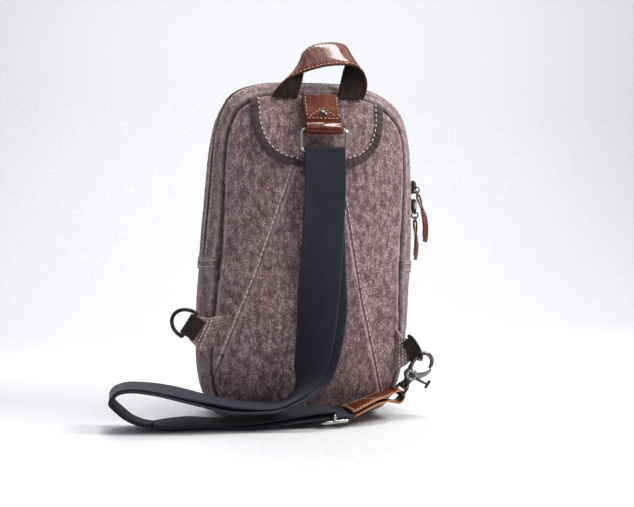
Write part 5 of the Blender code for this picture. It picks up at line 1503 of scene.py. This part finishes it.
def build_slider(label, y, z, pull_end, length, lean, tilt):
    plate_at = gusset_points(angle_at_height(z, 1), y)[0] + 0.0024
    body = f"{label}_zip_slider"
    outline = [(-0.0066, 0.0024), (-0.0052, 0.0032), (-0.0020, 0.0036), (0.0030, 0.0043), (0.0054, 0.0043),
               (0.0064, 0.0034), (0.0056, 0.0014), (0.0040, 0.0)]
    half = spline(outline, 6)
    shape = np.vstack([half, np.stack([half[::-1, 0], -half[::-1, 1]], axis=1)[1:]])
    verts, count = [], len(shape)
    for level, shrink in ((-0.0008, 1.0), (0.0004, 1.0), (0.0009, 0.90)):
        for along, side in shape:
            verts.append((plate_at + level, y + side * shrink, z + pull_end * along * -1 * shrink))
    make(f"{label}_slider_plate", verts, capped_faces(3, count), "gunmetal", body=body, sharp=30,
         replaces=(f"{label}_slider",))
    bridge = [(0.0004, -0.0056), (0.0018, -0.0055), (0.0028, -0.0046), (0.0031, -0.0030), (0.0031, 0.0030),
              (0.0028, 0.0046), (0.0018, 0.0055), (0.0004, 0.0056)]
    points = respaced(spline([(plate_at + dx, y, z + dz) for dx, dz in bridge], 8), 0.0003)
    tube(f"{label}_slider_bridge", points, 0.00065, "gunmetal", sides=14, flat=(X, 0.75), body=body)

    hang = np.array([math.sin(lean) * math.cos(tilt), math.sin(tilt), -math.cos(lean) * math.cos(tilt)])
    side = unit(Y - hang * hang[1])
    hinge = np.array([plate_at + 0.0016, y, z + pull_end * 0.0034])
    through = unit(np.cross(hang, side))
    chain = (("link_ring", 0.0024, (0.0050, 0.0048), side, 0.0022, 0.00070),
             ("link_bar", 0.0062, (0.0062, 0.0060), through, 0.0028, 0.00070),
             ("link_wire", 0.0099, (0.0058, 0.0052), side, 0.0024, 0.00055))
    for word, at, extent, flat_way, corner, wire in chain:
        tube(f"{label}_{word}", rounded_loop(hinge + hang * at, flat_way, hang, extent, corner, 8), wire,
             "gunmetal",
             closed=True, sides=12, body=f"{label}_link",
             replaces=(f"{label}_pull_link",) * (word == "link_wire"))

    eye = hinge + hang * CHAIN_LENGTH
    thick = 0.0011
    fold = 0.0005 + 0.0003 + thick / 2
    legs = thick / 2 + 0.00008
    normal = unit(np.cross(hang, side))
    curl = 0.0016 if label != "front" else 0.0008
    drop = {"upper": 0.0085, "lower": 0.0020, "front": 0.0}[label]
    twist = {"upper": -1.05, "lower": -0.85, "front": 0.0}[label]

    def leg(at, sign, width):
        bend = normal * curl * math.sin(max(0.0, at - 0.010) / (length - 0.010) * math.pi) * 0.6
        reach = fold if at < 0.006 else legs
        bend = bend - X * drop * max(0.0, (at - 0.006) / (length - 0.006)) ** 2
        turn = twist * min(1.0, max(0.0, (at - 0.006) / 0.016))
        facing = normal * math.cos(turn) + side * math.sin(turn)
        return eye + hang * at + facing * reach * sign + bend, facing * sign, width

    stations = [leg(length, 1, 0.0054), leg(length * 0.85, 1, 0.0060), leg(length * 0.65, 1, 0.0059),
                leg(length * 0.45, 1, 0.0058), leg(0.0120, 1, 0.0058), leg(0.0046, 1, 0.0040)]
    for k in range(9):
        angle = math.pi * (0.5 - k / 8)
        direction = normal * math.sin(angle) - hang * math.cos(angle)
        stations.append((eye + direction * fold, direction, 0.0028))
    short = length - 0.0045
    stations += [leg(0.0046, -1, 0.0040), leg(0.0120, -1, 0.0058), leg(length * 0.45, -1, 0.0058),
                 leg(length * 0.65, -1, 0.0059), leg(length * 0.80, -1, 0.0060), leg(short, -1, 0.0054)]
    band(f"{label}_pull_strip", band_rows(stations, 0.0004), band_section(thick, corner=0.6, across=16),
         "pull_leather",
         body=f"{label}_pull", replaces=(f"{label}_leather_pull",))
    for word, sign in (("outer", 1), ("inner", -1)):
        spots = [leg(at, sign, 0)[:2] for at in np.linspace(0.010, 0.022, 14)]
        face = np.array([way for _, way in spots])
        path = np.array([spot for spot, _ in spots]) + face * (thick / 2 + 0.00008)
        stitches(f"{label}_pull_{word}_stitches", path, face, mat="warm_thread",
                 length=0.0018, gap=0.0008, radius=0.00026, body=f"{label}_pull")


# ---------------------------------------------------------------- inner pieces, floor and light
def finish_inner_pieces():
    """Pieces inside the bag keep their CAD shape and get the procedural finish of their slot."""
    for sub in frame["record"]["subparts"]:
        if sub["node"] in ("back_foam_pad", "back_lining", "divider_panel", "slip_pocket", "base_board"):
            obj = bpy.data.objects[sub["node"]]
            obj.data.materials.clear()
            obj.data.materials.append(MATERIALS[sub["material_slot"]])


def build_floor():
    """A pale floor that curves up into a pale backdrop."""
    profile = [(-1.6, 0.0), (0.7, 0.0)]
    profile += [(0.7 + 0.5 * math.sin(a), 0.5 - 0.5 * math.cos(a)) for a in np.linspace(0, math.pi / 2,
                                                                                        14)[1:]]
    profile += [(1.2, 3.0)]
    verts = [(x, y, z) for y, z in profile for x in (-3.0, 3.0)]
    faces = [(2 * i, 2 * i + 1, 2 * i + 3, 2 * i + 2) for i in range(len(profile) - 1)]
    mesh = bpy.data.meshes.new("floor")
    mesh.from_pydata(verts, [], faces)
    mesh.shade_smooth()
    floor = bpy.data.objects.new("floor", mesh)
    bpy.context.scene.collection.objects.link(floor)
    mesh.materials.append(plain_surface("pale_floor", srgb(222, 223, 226), 0.7))


def area_light(name, place, target, size, power, colour):
    data = bpy.data.lights.new(name, "AREA")
    data.shape = "RECTANGLE"
    data.size, data.size_y = size
    data.energy = power
    data.color = colour
    light = bpy.data.objects.new(name, data)
    light.location = place
    light.rotation_euler = (Vector(target) - Vector(place)).to_track_quat("-Z", "Y").to_euler()
    bpy.context.scene.collection.objects.link(light)


def build_lights():
    bpy.context.scene.view_settings.view_transform = "Standard"
    middle = (0.0, 0.0, 0.16)
    area_light("key_light", (0.95, -0.45, 1.00), middle, (0.5, 0.5), 16, (1.0, 0.985, 0.965))
    area_light("fill_light", (-0.7, -1.3, 0.7), middle, (1.2, 1.2), 1.5, (0.96, 0.98, 1.0))
    area_light("top_light", (0.20, -0.14, 1.45), middle, (0.16, 0.50), 9, (1.0, 1.0, 1.0))
    area_light("rim_light", (-0.10, 0.55, 1.20), (0.0, 0.0, 0.28), (0.5, 0.5), 6, (1.0, 1.0, 1.0))
    area_light("backdrop_light", (0.5, 0.2, 1.7), (0.4, 1.2, 0.4), (3.2, 0.6), 13, (1.0, 1.0, 1.0))
    world = bpy.data.worlds.new("studio")
    world.use_nodes = True
    world.node_tree.nodes["Background"].inputs["Color"].default_value = srgb(240, 241, 243)
    world.node_tree.nodes["Background"].inputs["Strength"].default_value = 0.28
    bpy.context.scene.world = world


place_camera()
build_panel("back_panel", -1)
build_panel("front_panel", 1)
build_panel_seams()
build_gusset()
build_zips()
build_yoke()
build_handle()
build_ring_tab()
build_strap()
build_triglide()
build_end_tab()
build_hook()
build_corners()
for slider in SLIDERS:
    build_slider(*slider)
finish_inner_pieces()
build_floor()
build_lights()
